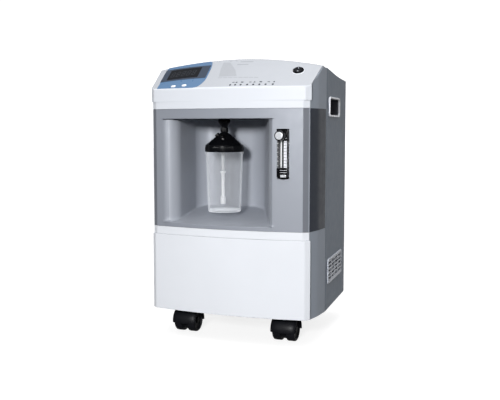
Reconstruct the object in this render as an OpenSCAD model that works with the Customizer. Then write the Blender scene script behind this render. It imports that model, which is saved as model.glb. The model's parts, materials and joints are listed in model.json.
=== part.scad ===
// Floor-standing oxygen concentrator: a shelled cabinet on four twin-wheel
// castors, with a bottle niche and a flow meter in its front.
// Millimetres. +Z is up, the front faces -Y, +X is the right hand side of a
// person facing the front. The floor is z = 0.

/* [Cabinet] */
// Overall height, floor to the middle of the ridge
total_h = 600; // [598:1:602]
// Height of the bottom edge of the cabinet above the floor
skirt_z = 58; // [57:1:59]
// Wall thickness of the moulded covers
wall = 3; // [2.6:0.1:3.2]
// Gap at the joint lines between covers
seam = 0.4; // [0.3:0.05:0.6]
// Top edge of the lower front cover
lower_top_z = 223; // [221:1:225]
// Bottom edge of the middle front panel
mid_bot_z = 240; // [238:1:242]
// Top edge of the middle front panel
mid_top_z = 491.8; // [491:0.2:493]
// Bottom edge of the lip of the top cover
lip_z = 507.2; // [506:0.2:508]
// Height of the front edge of the control fascia
fascia_z = 534; // [533:1:535]

/* [Bottle niche] */
// Height of the niche floor at the front
niche_floor_z = 249; // [248:1:250]
// Height of the niche ceiling
niche_ceil_z = 471; // [470:1:472]
// Rise of the niche floor for each millimetre of depth
niche_rise = 0.18; // [0.16:0.01:0.19]

/* [Humidifier bottle] */
// Sideways position of the bottle axis
bottle_x = -26; // [-28:1:-24]
// Radius of the screw lid
lid_r = 41.5; // [40:0.1:42]
// Height of the underside of the jar
jar_z = 272; // [271:0.5:274]
// Pitch of the thread between jar and lid
jar_pitch = 4; // [3:0.5:4]

/* [Flow meter] */
// Sideways position of the flow meter
flow_x = 125.5; // [124:0.5:127]
// Width of the flow meter
flow_w = 23.4; // [22:0.2:24]
// Radius of the flow knob
knob_r = 10.2; // [9:0.2:11]

/* [Switch and buttons] */
// Radius of the round mains rocker
rocker_r = 8.6; // [8:0.2:9]
// Tilt of the rocker in either position
rocker_tilt = 7; // [5:1:8]

/* [Side parts] */
// Height of the centre of the hand grips
grip_z = 497.2; // [494:0.2:500]
// Height of the centre of the side vents
vent_z = 140.6; // [138:0.2:143]

/* [Castors] */
// Radius of the castor wheels
wheel_r = 25; // [24:0.5:25]
// Distance of the wheel axle from the swivel axis
trail = 16; // [14:1:18]
// Half the track of the front castors
track_front = 115; // [112:1:118]
// Half the track of the rear castors
track_rear = 80; // [76:1:84]

/* [Hidden] */
$fn = 64;

// everything is drawn with the cabinet centred on y = 0 and then moved so
// that the knob and the back are equally far from the origin
y_seat = 10;
front_y = -173;
back_y = 173;
knob_front_y = -193;

fascia_slope = 0.7174;
fa = atan(fascia_slope);
r_proud = 940;              // plan bow of the lower cover and of the lip
r_mid = 891;                // plan bow of the panels between them
split_y = -148.9;           // front covers end here
crease_y = -63;             // corner panels end here
arch_r = 897.4;             // front-view arch of the top
side_a = atan(15.6 / 236);  // taper of the side panels in plan

function unit(v) = v / norm(v);
function mirr(p) = concat(p, [for (i = [len(p) - 1:-1:0]) [-p[i][0], p[i][1]]]);
// inward offset of an anticlockwise polygon, with mitred corners
function inset(p, t) = [for (i = [0:len(p) - 1])
    let (a = p[(i - 1 + len(p)) % len(p)], b = p[i], c = p[(i + 1) % len(p)],
         u = unit(b - a), v = unit(c - b), nu = [-u[1], u[0]], nv = [-v[1], v[0]])
    b + t * (nu + nv) / (1 + nu * nv)];
// points of an arc about c from angle a0 to a1
function arc(c, r, a0, a1, n) = [for (i = [0:n]) let (a = a0 + (a1 - a0) * i / n) [c[0] + r * cos(a), c[1] + r * sin(a)]];

back_half = concat([[188, crease_y]], arc([158.2, back_y - 15], 15, -3.8, 90, 5));
mid_pts = mirr(concat([[141.8, -175], [177, -149], [184.4, -110]], back_half));
proud_pts = mirr(concat([[150, -175], [181.5, -147.5]], back_half));

module plan_mid(t = 0) {
  intersection() {
    polygon(inset(mid_pts, t));
    translate([0, front_y + r_mid]) circle(r = r_mid - t, $fn = 360);
  }
}
module plan_proud(t = 0) {
  intersection() {
    polygon(inset(proud_pts, t));
    translate([0, front_y + r_proud]) circle(r = r_proud - t, $fn = 360);
  }
}
module seat() { translate([0, y_seat, 0]) children(); }
module band(z0, z1) { translate([0, 0, z0]) linear_extrude(z1 - z0) children(); }
module slab(x0, x1, y0, y1, z0, z1) { translate([x0, y0, z0]) cube([x1 - x0, y1 - y0, z1 - z0]); }

// space under the sloping control fascia: a large cylinder laid along the slope
r_fascia = r_proud / sin(fa);
module under_fascia(t = 0) {
  w = -front_y * sin(fa) + fascia_z * cos(fa) - r_fascia;
  translate([0, -w * sin(fa), w * cos(fa)]) rotate([fa - 90, 0, 0])
    cylinder(r = r_fascia - t, h = 3000, center = true, $fn = 720);
}
// space under the arched top: a profile along Y turned about a low axis
crown = [[-200, 613], [-81, 600], [-60, 597.1], [-38, 594.8], [-14.5, 592.3], [20, 588.2], [57, 584.6],
         [85, 582.6], [114, 581], [150, 579.3], [200, 577.4]];
module under_crown(t = 0) {
  translate([0, 0, total_h - arch_r]) rotate([-90, 0, 0]) rotate([0, 0, -104])
    rotate_extrude(angle = 28, $fn = 720)
      polygon(concat([[arch_r - 300, 200], [arch_r - 300, -200]],
        [for (p = crown) [p[1] - 600 + arch_r - t, p[0]]]));
}

// space under a level arch, which rounds off the ends of the ridge
module under_arch() {
  translate([0, 0, total_h - arch_r]) rotate([90, 0, 0]) cylinder(r = arch_r + 0.6, h = 700, center = true, $fn = 720);
}
// everything above the arched top
module over_crown() {
  translate([0, 0, total_h - arch_r]) rotate([-90, 0, 0]) rotate([0, 0, -107])
    rotate_extrude(angle = 34, $fn = 720)
      polygon(concat([[arch_r + 130, 200], [arch_r + 130, -200]],
        [for (p = crown) [p[1] - 600 + arch_r, p[0]]]));
}

// height of the fascia surface
function fascia_h(x, y) = fascia_z + fascia_slope * (y - front_y - x * x / (2 * r_proud));
module on_fascia(x, y) { translate([x, y, fascia_h(x, y)]) rotate([fa, 0, 0]) children(); }
module stadium(l, w) {
  union() {
    translate([-(l - w) / 2, 0]) circle(d = w);
    translate([(l - w) / 2, 0]) circle(d = w);
    square([l - w, w], center = true);
  }
}

// ---------------------------------------------------------------- covers
ridge_y = -81;
button_pos = [[-123.3, -157.5], [-97.2, -158.6]];
switch_pos = [140.8, -114];
label_pts = [[-163, -159], [-157, -162.3], [-120, -168.5], [-75, -170.5], [-64, -166], [-57, -155], [-54.5, -140],
             [-58, -105], [-61.5, -91], [-66, -84.5], [-72, -82.5], [-168, -90]];
lcd_pts = [[-165.5, -136.7], [-57.5, -138.5], [-61.2, -98], [-169.3, -96.5]];

module front_of(y1, z0 = 480, z1 = 640) { slab(-200, 200, -180, y1, z0, z1); }
module top_cover() {
  seat() color("#e8ebf2") difference() {
    union() {
      // fascia plate up to the ridge
      difference() {
        intersection() {
          band(fascia_z - 12, 620) plan_proud();
          under_fascia();
          under_arch();
          front_of(ridge_y);
        }
        under_fascia(wall);
      }
      // upright lip
      intersection() {
        band(lip_z, fascia_z + 4) difference() { plan_proud(); plan_proud(wall); }
        under_fascia(0.2);
        front_of(split_y);
      }
      // step between the lip and the band below it
      intersection() {
        band(lip_z, lip_z + wall) difference() { plan_proud(0.2); plan_mid(wall); }
        front_of(split_y);
      }
      // stepped band under the lip
      intersection() {
        band(mid_top_z + seam / 2, lip_z + 1) difference() { plan_mid(); plan_mid(wall); }
        front_of(split_y);
      }
      // round seat of the mains switch
      on_fascia(switch_pos[0], switch_pos[1]) translate([0, 0, -2]) cylinder(r = 13.6, h = 2.9);
    }
    for (p = button_pos) on_fascia(p[0], p[1]) translate([0, 0, -8]) linear_extrude(16) stadium(11.8, 7.2);
    on_fascia(switch_pos[0], switch_pos[1]) translate([0, 0, -30]) cylinder(r = 10.4, h = 60);
  }
}

module rear_top_cover() {
  seat() color("#6d717b") intersection() {
    difference() {
      under_crown();
      under_crown(wall);
    }
    band(500, 640) plan_mid(wall + seam);
    slab(-200, 200, ridge_y + seam, 200, 480, 640);
  }
}

// plan of the bottle niche: round left pillar, deep back, slanted right wall
niche_pts = concat([[101.5, -180], [101.5, -169], [92, -158], [43, -41.5], [30, -33.5], [14, -28.5], [-5, -26]],
                   [[-88, -26]], [[-100, -29.5], [-109, -38.5], [-115.5, -52], [-118.5, -84], [-117.5, -118]],
                   [[-118.5, -130], [-122.5, -142], [-130, -153], [-140, -161], [-152, -166.5], [-152, -180]]);
module niche_floor_cut(dz = 0) {
  translate([-200, -170, niche_floor_z + dz]) rotate([atan(niche_rise), 0, 0]) translate([0, -60, 0]) cube([400, 300, 300]);
}
module mid_front_panel() {
  seat() color("#9aa0ad") difference() {
    union() {
      intersection() {
        band(mid_bot_z + seam / 2, mid_top_z - seam / 2) difference() { plan_mid(); plan_mid(wall); }
        slab(-200, 200, -180, split_y, 200, 520);
      }
      // the moulded tub of the niche
      intersection() {
        band(mid_bot_z + 1, niche_ceil_z + wall) polygon(inset(niche_pts, -wall));
        band(200, 500) plan_mid(1);
        niche_floor_cut(-wall);
      }
    }
    intersection() {
      band(mid_bot_z, niche_ceil_z) polygon(niche_pts);
      niche_floor_cut();
    }
    // opening of the flow meter
    slab(flow_x - flow_w / 2 - seam, flow_x + flow_w / 2 + seam, -180, -140, 348.6, 450.4);
    // hole for the outlet fitting
    translate([bottle_x, -110, niche_ceil_z - 1]) cylinder(r = 8.4, h = 10);
  }
}

module front_band(z0, z1, proud) {
  intersection() {
    band(z0, z1) difference() {
      if (proud) plan_proud(); else plan_mid();
      if (proud) plan_proud(wall); else plan_mid(wall);
    }
    slab(-200, 200, -180, split_y, 40, 600);
  }
}
module waist_rail() { seat() color("#eef0f6") front_band(lower_top_z + seam / 2, mid_bot_z - seam / 2, false); }
module lower_front_panel() { seat() color("#f0f2f8") front_band(skirt_z, lower_top_z - seam / 2, true); }

// shell of the cabinet behind the front covers
module rear_shell(z0, y0, y1, s) {
  difference() {
    intersection() {
      band(z0, 620) difference() { plan_mid(); plan_mid(wall); }
      under_fascia(y0 < -100 ? wall + seam : 0);
      slab(s > 0 ? 100 : -200, s > 0 ? 200 : -100, y0, y1, 40, 620);
    }
    over_crown();
  }
}
module trim_space(t, s) {
  intersection() {
    band(mid_bot_z + t, mid_top_z - t) difference() { plan_mid(-2); plan_mid(1.4 + (t > 0 ? -0.05 : 0)); }
    slab(s > 0 ? 100 : -200, s > 0 ? 200 : -100, split_y - 1 + t, crease_y - 4 - t, 40, 640);
  }
}
module corner_panel(s) {
  color("#767b86") difference() {
    rear_shell(skirt_z, split_y + seam, crease_y - seam / 2, s);
    trim_space(0, s);
  }
}
module left_corner_panel() { seat() corner_panel(-1); }
module right_corner_panel() { seat() corner_panel(1); }
module trim_inlay(s) {
  color("#33363f") intersection() {
    trim_space(0.2, s);
    rear_shell(skirt_z, split_y + seam, crease_y - seam / 2, s);
  }
}
module left_trim_inlay() { seat() trim_inlay(-1); }
module right_trim_inlay() { seat() trim_inlay(1); }

// frame on a side panel: x outward, origin on the surface at the given y
function side_x(y) = 188 - 15.6 * (y - crease_y) / 236;
module on_side(s, y, z) {
  if (s > 0) translate([side_x(y), y, z]) rotate([0, 0, side_a]) children();
  else mirror([1, 0, 0]) translate([side_x(y), y, z]) rotate([0, 0, side_a]) children();
}
module rounded(w, h, r) {
  union() {
    square([w - 2 * r, h], center = true);
    square([w, h - 2 * r], center = true);
    for (i = [-1, 1], j = [-1, 1]) translate([i * (w / 2 - r), j * (h / 2 - r)]) circle(r = r);
  }
}
// plate standing in the local YZ plane from x = a to x = b
module yz(a, b) { translate([a, 0, 0]) rotate([90, 0, 90]) linear_extrude(b - a) children(); }

grip_y = 16;  grip_w = 116;  grip_h = 43;
vent_y = 36;  vent_w = 158;  vent_h = 55;
module side_panel(s) {
  color("#7b828d") difference() {
    rear_shell(skirt_z, crease_y + seam / 2, 150, s);
    on_side(s, grip_y, grip_z) yz(-8, 8) rounded(grip_w - 16, grip_h - 5, 7);
    on_side(s, vent_y, vent_z) yz(-8, 8) rounded(vent_w - 12, vent_h - 12, 3);
  }
}
module left_side_panel() { seat() side_panel(-1); }
module right_side_panel() { seat() side_panel(1); }

module hand_grip(s) {
  color("#e6e8ee") on_side(s, grip_y, grip_z) difference() {
    union() {
      yz(0.1, 3.2) rounded(grip_w, grip_h, 9);
      yz(-36, 0.1) rounded(grip_w - 17, grip_h - 6, 6.5);
    }
    yz(-33.5, 5) rounded(grip_w - 27, grip_h - 10, 5);
  }
}
module left_hand_grip() { seat() hand_grip(-1); }
module right_hand_grip() { seat() hand_grip(1); }

module vent_grille(s) {
  color("#c3c8d2") on_side(s, vent_y, vent_z) difference() {
    union() {
      yz(0.1, 2.6) rounded(vent_w, vent_h, 5);
      yz(-3.2, 0.1) rounded(vent_w - 13, vent_h - 13, 2.6);
    }
    for (i = [-1.5:1:1.5], j = [-2:1:2])
      translate([0, i * 37, j * 8.7]) yz(-10, 10) square([30, 4.6], center = true);
  }
}
module left_vent_grille() { seat() vent_grille(-1); }
module right_vent_grille() { seat() vent_grille(1); }

// back of the cabinet
filter_z = 390;  filter_w = 150;  filter_h = 110;
inlet_x = 105;  inlet_z = 112;
module rear_panel() {
  seat() color("#7b828d") difference() {
    union() {
      difference() {
        intersection() {
          band(skirt_z, 620) difference() { plan_mid(); plan_mid(wall); }
          slab(-200, 200, 150.4, 200, 40, 620);
        }
        over_crown();
      }
      // tray that holds the foam
      translate([0, back_y - 14, filter_z]) rotate([-90, 0, 0]) linear_extrude(13) difference() {
        square([filter_w, filter_h], center = true);
        square([filter_w - 4, filter_h - 4], center = true);
      }
      translate([0, back_y - 16, filter_z]) rotate([-90, 0, 0]) linear_extrude(2) difference() {
        square([filter_w, filter_h], center = true);
        for (i = [-3:3], j = [-2:2]) translate([i * 19, j * 19]) square([15, 15], center = true);
      }
    }
    translate([0, back_y - 14, filter_z]) rotate([-90, 0, 0]) linear_extrude(20) square([filter_w - 4, filter_h - 4], center = true);
    // exhaust louvres
    for (j = [0:7]) translate([-30, back_y, 100 + j * 11]) cube([170, 20, 5], center = true);
    translate([inlet_x, back_y, inlet_z]) cube([28.4, 20, 20.8], center = true);
    translate([inlet_x, back_y + 10, inlet_z + 34]) rotate([90, 0, 0]) cylinder(r = 6.3, h = 20);
    for (p = screw_pos) translate([p[0], back_y - 6, p[1]]) rotate([-90, 0, 0]) cylinder(r = 2.1, h = 10);
    for (p = screw_pos) translate([p[0], back_y - 1.4, p[1]]) rotate([-90, 0, 0]) cylinder(r = 4.2, h = 10);
  }
}
screw_pos = [[-140, 80], [140, 80], [-140, 300], [140, 300], [-140, 520], [140, 520]];
module cover_screws() {
  seat() color("#9a9ca2") for (p = screw_pos) translate([p[0], back_y - 1.3, p[1]]) rotate([-90, 0, 0]) difference() {
    union() {
      cylinder(r = 3.9, h = 1.2);
      translate([0, 0, -9]) cylinder(r = 1.9, h = 9.5);
    }
    translate([0, 0, 0.5]) union() { cube([4.6, 0.9, 2], center = true); cube([0.9, 4.6, 2], center = true); }
  }
}
module filter_cover() {
  seat() color("#5c6069") translate([0, back_y - 4.2, filter_z]) rotate([-90, 0, 0]) difference() {
    linear_extrude(4.2) rounded(filter_w - 5, filter_h - 5, 3);
    for (i = [-6:6]) translate([0, i * 7, -1]) linear_extrude(8) union() {
      translate([-33, 0]) square([56, 3.2], center = true);
      translate([33, 0]) square([56, 3.2], center = true);
    }
  }
}
module foam_filter() {
  seat() color("#2c2e33") translate([0, back_y - 13.6, filter_z]) rotate([-90, 0, 0]) linear_extrude(9)
    square([filter_w - 5, filter_h - 5], center = true);
}
module power_inlet() {
  seat() color("#17181b") translate([inlet_x, 0, inlet_z]) difference() {
    union() {
      slab(-13.9, 13.9, back_y - 26, back_y, -10.1, 10.1);
      slab(-19, 19, back_y - 5.8, back_y - 3.3, -13.5, 13.5);
    }
    slab(-12, 12, back_y - 16, back_y + 1, -8, 8);
    for (i = [-1:1]) slab(i * 7 - 1.15, i * 7 + 1.15, back_y - 25, back_y - 15, -2.2, 2.2);
  }
}
module breaker_body() {
  seat() color("#1b1c20") translate([inlet_x, back_y, inlet_z + 34]) rotate([90, 0, 0]) difference() {
    union() {
      translate([0, 0, -0]) cylinder(r = 6.1, h = 12);
      translate([0, 0, 3.3]) cylinder(r = 9, h = 2);
      translate([0, 0, 8]) cylinder(r = 8, h = 26);
    }
    translate([0, 0, -1]) cylinder(r = 4.05, h = 12);
  }
}
module breaker_button() {
  seat() color("#dfe1e6") translate([inlet_x, back_y, inlet_z + 34]) rotate([90, 0, 0]) cylinder(r = 4, h = 7);
}

// ---------------------------------------------------------------- display
module film(t0, t1) {
  intersection() {
    difference() { under_fascia(-t1); under_fascia(-t0); }
    slab(-200, 200, -180, ridge_y - 1.2, 480, 640);
    band(500, 640) children();
  }
}
module display_label() {
  seat() color("#6e96c4") difference() {
    film(0.05, 0.5) difference() { polygon(label_pts); polygon(inset(lcd_pts, -0.3)); }
    for (p = button_pos) on_fascia(p[0], p[1]) translate([0, 0, -8]) linear_extrude(16) stadium(11.8, 7.2);
  }
}
module lcd_window() { seat() color("#3c4655") film(0.05, 0.9) polygon(lcd_pts); }
module button(i) {
  color("#f4f5f8") on_fascia(button_pos[i][0], button_pos[i][1]) union() {
    translate([0, 0, -2.4]) linear_extrude(4.2) stadium(11, 6.4);
    translate([0, 0, -5.6]) linear_extrude(1.8) stadium(14, 9);
    translate([0, 0, -4.2]) cylinder(r = 2, h = 3);
  }
}
module left_button() { seat() button(0); }
module right_button() { seat() button(1); }
module switch_bezel() {
  seat() color("#15161a") on_fascia(switch_pos[0], switch_pos[1]) difference() {
    union() {
      translate([0, 0, 1]) cylinder(r = 11.2, h = 1.9);
      translate([0, 0, -17]) cylinder(r = 10.2, h = 18.5);
    }
    translate([0, 0, -12]) cylinder(r = rocker_r + 0.45, h = 30);
    rotate([0, 90, 0]) cylinder(r = 1.55, h = 19.6, center = true);
  }
}
module switch_rocker() {
  seat() color("#0e0f12") on_fascia(switch_pos[0], switch_pos[1]) rotate([rocker_tilt, 0, 0]) union() {
    intersection() {
      translate([0, 0, -6]) cylinder(r = rocker_r - 0.2, h = 11);
      rotate([0, 90, 0]) difference() {
        cylinder(r = 9.4, h = 30, center = true);
        translate([-17.5, 0, 0]) cylinder(r = 14.2, h = 40, center = true);
      }
    }
    rotate([0, 90, 0]) cylinder(r = 1.5, h = 19, center = true);
  }
}

// ------------------------------------------------------------- flow meter
flow_z0 = 349;  flow_z1 = 450;  flow_zb = 371;  flow_zt = 426.6;
flow_front = -172.5;  flow_back = -144;
knob_z = 436.4;
module flow_outline() {
  union() {
    translate([flow_x, flow_z0 + 8]) square([flow_w, 2 * 0 + 0.01], center = true);
    intersection() {
      translate([flow_x - flow_w / 2, flow_z0]) square([flow_w, flow_z1 - flow_z0]);
      translate([flow_x, flow_z0 + 20]) union() { circle(r = 20); translate([-20, 0]) square([40, 100]); }
    }
  }
}
module flow_slab(z0, z1) {
  intersection() {
    translate([0, flow_back, 0]) rotate([90, 0, 0]) linear_extrude(flow_back - flow_front) flow_outline();
    slab(flow_x - 20, flow_x + 20, flow_front, flow_back, z0, z1);
  }
}
module flowmeter_body() {
  seat() color([0.9, 0.93, 0.96, 0.5]) difference() {
    flow_slab(flow_zb, flow_zt);
    translate([flow_x, -160, flow_zb - 1]) cylinder(r = 4.1, h = 60);
    slab(flow_x + 5.4, flow_x + 10.6, -150.2, -140, flow_zb + 2, flow_zt - 2);
  }
}
module flowmeter_ends() {
  seat() color("#191a1e") union() {
    difference() {
      flow_slab(flow_zt + 0.05, flow_z1);
      translate([flow_x, -150, knob_z]) rotate([90, 0, 0]) cylinder(r = 3.05, h = 40);
    }
    flow_slab(flow_z0, flow_zb - 0.05);
  }
}
module flowmeter_scale() {
  seat() color("#f2f3f6") slab(flow_x + 5.6, flow_x + 10.4, -150.1, -148.9, flow_zb + 2.2, flow_zt - 2.2);
}
module flowmeter_float() {
  seat() color("#1c1d22") translate([flow_x, -160, flow_zb]) union() {
    cylinder(r = 3.7, h = 3);
    translate([0, 0, 3]) cylinder(r1 = 3.7, r2 = 2, h = 3);
  }
}
module flowmeter_knob() {
  seat() color("#202126") translate([flow_x, 0, knob_z]) rotate([90, 0, 0]) difference() {
    union() {
      translate([0, 0, 152]) cylinder(r = 3, h = 30);
      translate([0, 0, 174.5]) cylinder(r = 6.5, h = 5);
      translate([0, 0, 178]) cylinder(r = knob_r, h = -knob_front_y - 178);
    }
    for (a = [0:15:345]) rotate([0, 0, a]) translate([knob_r + 0.5, 0, 177]) cylinder(r = 1, h = 12, $fn = 24);
  }
}

// ------------------------------------------------------------- humidifier
bottle_y = -110;
lid_z0 = 400.8;
module at_bottle() { translate([bottle_x, bottle_y, 0]) children(); }
module outlet_fitting() {
  seat() color("#101114") at_bottle() rotate_extrude() polygon([[3.4, 447.6], [6.3, 447.6], [6.3, 454], [8.2, 454], [8.2, 455.5], [12.8, 463.5],
    [12.8, 470.7], [8, 470.7], [8, 490], [3.4, 490]]);
}
module connector_nut() {
  seat() color("#0c0d0f") at_bottle() difference() {
    rotate_extrude() polygon([[6.6, 442.2], [8.6, 442.2], [8.6, 452.4], [7.8, 453.4], [6.6, 453.4]]);
    for (a = [0:30:330]) rotate([0, 0, a]) translate([9.5, 0, 441]) cylinder(r = 1.3, h = 20, $fn = 24);
  }
}
// plain spigot for the patient tube, on the front of the lid
module spout_frame() { at_bottle() translate([0, 0, 424.3]) rotate([0, 74, -75]) children(); }
// relief valve boss, square to the cone
module relief_frame() { at_bottle() rotate([0, 0, 200.9]) translate([15, 0, 436.6]) rotate([0, 39.6, 0]) children(); }
module humidifier_lid() {
  seat() color("#0c0d0f") difference() {
    union() {
      at_bottle() rotate_extrude($fn = 96) polygon([[38.8, lid_z0], [lid_r - 0.5, lid_z0], [lid_r, lid_z0 + 0.6], [lid_r, 414.2],
        [lid_r - 0.6, 415.2], [8.8, 441.74], [6.3, 441.74], [6.3, 447], [3.4, 447], [3.4, 436], [0, 436], [0, 433], [10, 433],
        [36.5, 413], [38.8, 412.2]]);
      difference() {
        union() {
          spout_frame() union() {
            translate([0, 0, 12]) cylinder(r = 5.2, h = 16);
            translate([0, 0, 28]) cylinder(r1 = 5.2, r2 = 3.2, h = 1);
            translate([0, 0, 27]) cylinder(r = 3.2, h = 15);
            translate([0, 0, 42]) cylinder(r1 = 3.2, r2 = 2.6, h = 1);
          }
          relief_frame() translate([0, 0, -6]) cylinder(r = 5.2, h = 9.4);
        }
        at_bottle() rotate_extrude($fn = 96) polygon([[0, 400], [38, 400], [36.5, 413], [10, 433], [0, 433]]);
      }
      // socket for the down tube
      at_bottle() translate([-3.5, 0, 408]) cylinder(r = 5, h = 26);
    }
    at_bottle() translate([-3.5, 0, 400]) cylinder(r = 3.75, h = 24);
    // gas way from the neck down into the tube
    at_bottle() translate([-3.5, 0, 423]) cylinder(r = 2.2, h = 15);
    spout_frame() translate([0, 0, 8]) cylinder(r = 1.6, h = 40);
  }
}
module jar_gasket() {
  seat() color("#3a3b40") at_bottle() rotate_extrude() polygon([[36.1, 410.2], [38.1, 410.2], [38.1, 411.6], [36.1, 411.6]]);
}
module humidifier_jar() {
  seat() color([0.85, 0.88, 0.92, 0.45]) at_bottle() rotate_extrude($fn = 96) polygon([[0, jar_z + 1.6], [27.6, jar_z + 1.6], [28.6, jar_z], [33.6, jar_z], [35.2, jar_z + 1.8],
    [40, 397], [40.9, 397.6], [40.9, 400.3], [38.2, 400.3], [38.2, 410], [36.1, 410], [36.1, 399], [37.9, 397], [33.2, jar_z + 4.2], [32.2, jar_z + 3.4], [0, jar_z + 3.4]]);
}
module down_tube() {
  seat() color("#f4f5f8") at_bottle() translate([-3.5, 0, 0]) difference() {
    union() {
      translate([0, 0, 300]) cylinder(r = 3.7, h = 123);
      translate([0, 0, 287.6]) cylinder(r = 5.7, h = 17.8);
      translate([0, 0, 355.5]) cylinder(r = 6.6, h = 2.6);
    }
    translate([0, 0, 300]) cylinder(r = 2.2, h = 130);
  }
}

// ---------------------------------------------------------------- castors
castor_pos = [[-track_front, -92, -1], [track_front, -92, -1], [-track_rear, 118, -1], [track_rear, 118, -1]];
module castor_housing(i) {
  p = castor_pos[i];
  color("#1a1b1f") translate([p[0], p[1], 0]) difference() {
    union() {
      // stem and flange
      translate([0, 0, 50]) cylinder(r = 14, h = skirt_z - 50.6);
      translate([0, 0, 50]) cylinder(r = 5.5, h = 33);
      // centre web between the wheels
      intersection() {
        translate([0, -trail, wheel_r]) rotate([0, 90, 0]) cylinder(r = 28.5, h = 9, center = true);
        slab(-10, 10, -60, 40, 8, 60);
      }
      // hood over both wheels
      difference() {
        translate([0, -trail, wheel_r]) rotate([0, 90, 0]) cylinder(r = 29.6, h = 56, center = true);
        translate([0, -trail, wheel_r]) rotate([0, 90, 0]) cylinder(r = 26.8, h = 51, center = true);
        slab(-40, 40, -100, 60, -10, wheel_r - 4);
        for (s = [-1, 1]) translate([s * 30, -trail, wheel_r]) rotate([0, 90, 0]) cylinder(r = 23, h = 20, center = true);
      }
    }
    translate([0, -trail, wheel_r]) rotate([0, 90, 0]) cylinder(r = 3.05, h = 80, center = true);
  }
}
module castor_wheels(i) {
  p = castor_pos[i];
  color("#24252a") translate([p[0], p[1] - trail, wheel_r]) rotate([0, 90, 0]) union() {
    cylinder(r = 3, h = 44, center = true);
    for (s = [-1, 1]) translate([0, 0, s * 15]) difference() {
      cylinder(r = wheel_r, h = 19, center = true);
      translate([0, 0, s * 9.5]) cylinder(r = 17, h = 3, center = true);
    }
  }
}
module castor_front_left() { seat() castor_housing(0); }
module castor_front_right() { seat() castor_housing(1); }
module castor_rear_left() { seat() castor_housing(2); }
module castor_rear_right() { seat() castor_housing(3); }
module wheels_front_left() { seat() castor_wheels(0); }
module wheels_front_right() { seat() castor_wheels(1); }
module wheels_rear_left() { seat() castor_wheels(2); }
module wheels_rear_right() { seat() castor_wheels(3); }

// -------------------------------------------------------------- inside
module base_tray() {
  seat() color("#9fa3ab") difference() {
    union() {
      band(skirt_z + 0.5, skirt_z + 4) plan_mid(wall + seam);
      band(skirt_z + 0.5, skirt_z + 22) difference() { plan_mid(wall + seam); plan_mid(wall + seam + 1.5); }
      for (p = castor_pos) translate([p[0], p[1], skirt_z + 0.5]) cylinder(r = 12, h = 27);
    }
    for (p = castor_pos) translate([p[0], p[1], skirt_z - 2]) cylinder(r = 5.55, h = 40);
    for (j = [-2:2]) translate([0, j * 16 + 20, skirt_z]) cube([110, 6, 20], center = true);
    // clearance for the inlet and the exhaust
    slab(-150, 150, 155, 180, skirt_z + 10, skirt_z + 30);
  }
}
bed_pos = [[-118, 112], [-34, 112]];
tank_pos = [52, 118];
fan_pos = [10, 40];
module inner_shelf() {
  seat() color("#b4b8c0") difference() {
    union() {
      intersection() {
        band(232, 234) plan_mid(wall + 1);
        slab(-190, 190, -140, 150, 220, 240);
      }
      // posts down to the tray
      for (p = [[-150, -110], [150, -110], [-140, 40], [140, 40]])
        slab(p[0] - 6, p[0] + 6, p[1] - 6, p[1] + 6, skirt_z + 4.2, 233);
    }
    for (p = bed_pos) translate([p[0], p[1], 220]) cylinder(r = 38.6, h = 30);
    translate([tank_pos[0], tank_pos[1], 220]) cylinder(r = 30.6, h = 30);
    translate([fan_pos[0], fan_pos[1] - 6, 220]) cylinder(r = 37, h = 30);
  }
}
module compressor() {
  seat() color("#b9bcc3") translate([0, -20, 140]) difference() {
    union() {
      rotate([0, 90, 0]) cylinder(r = 46, h = 110, center = true);
      for (s = [-1, 1]) {
        slab(s * 40 - 22, s * 40 + 22, -30, 30, 20, 66);
        slab(s * 40 - 26, s * 40 + 26, -34, 34, 66, 80);
        for (i = [0:3]) slab(s * 40 - 25, s * 40 + 25, -33, 33, 48 + i * 4.4, 50 + i * 4.4);
      }
      slab(-60, 60, -42, 42, -58, -40);
    }
    rotate([0, 90, 0]) cylinder(r = 6.08, h = 300, center = true);
    rotate([0, 90, 0]) cylinder(r = 36, h = 84, center = true);
  }
}
module compressor_rotor() {
  seat() color("#8f9299") translate([0, -20, 140]) rotate([0, 90, 0]) union() {
    cylinder(r = 6, h = 184, center = true);
    cylinder(r = 30, h = 60, center = true);
    for (s = [-1, 1]) translate([0, 0, s * 82]) {
      cylinder(r = 12, h = 16, center = true);
      for (a = [0:45:315]) rotate([0, 0, a]) translate([22, 0, 0]) rotate([28, 0, 0]) cube([30, 1.6, 15], center = true);
    }
  }
}
module rubber_mounts() {
  seat() color("#26272b") for (x = [-48, 48], y = [-54, 14]) translate([x, y, skirt_z + 4.2]) union() {
    cylinder(r = 11, h = 6);
    translate([0, 0, 5]) cylinder(r = 8, h = 9);
    translate([0, 0, 13]) cylinder(r = 11, h = 6.6);
  }
}
module cooling_fan_frame() {
  seat() color("#202126") translate([fan_pos[0], fan_pos[1] - 6, 234.3]) difference() {
    union() {
      difference() {
        translate([-40, -40, 0]) cube([80, 80, 25]);
        translate([0, 0, -1]) cylinder(r = 37.5, h = 30);
      }
      for (a = [45:90:315]) rotate([0, 0, a]) translate([0, -2, 0]) cube([40, 4, 2.4]);
      cylinder(r = 14, h = 3.4);
      cylinder(r = 2, h = 14);
    }
  }
}
module cooling_fan_rotor() {
  seat() color("#2c2e34") translate([fan_pos[0], fan_pos[1] - 6, 239]) difference() {
    union() {
      cylinder(r = 15, h = 16);
      for (a = [0:360 / 7:359]) rotate([0, 0, a]) translate([24.8, 0, 8]) rotate([35, 0, 0]) cube([21.5, 1.4, 15], center = true);
    }
    translate([0, 0, -1]) cylinder(r = 2.05, h = 12);
  }
}
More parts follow.
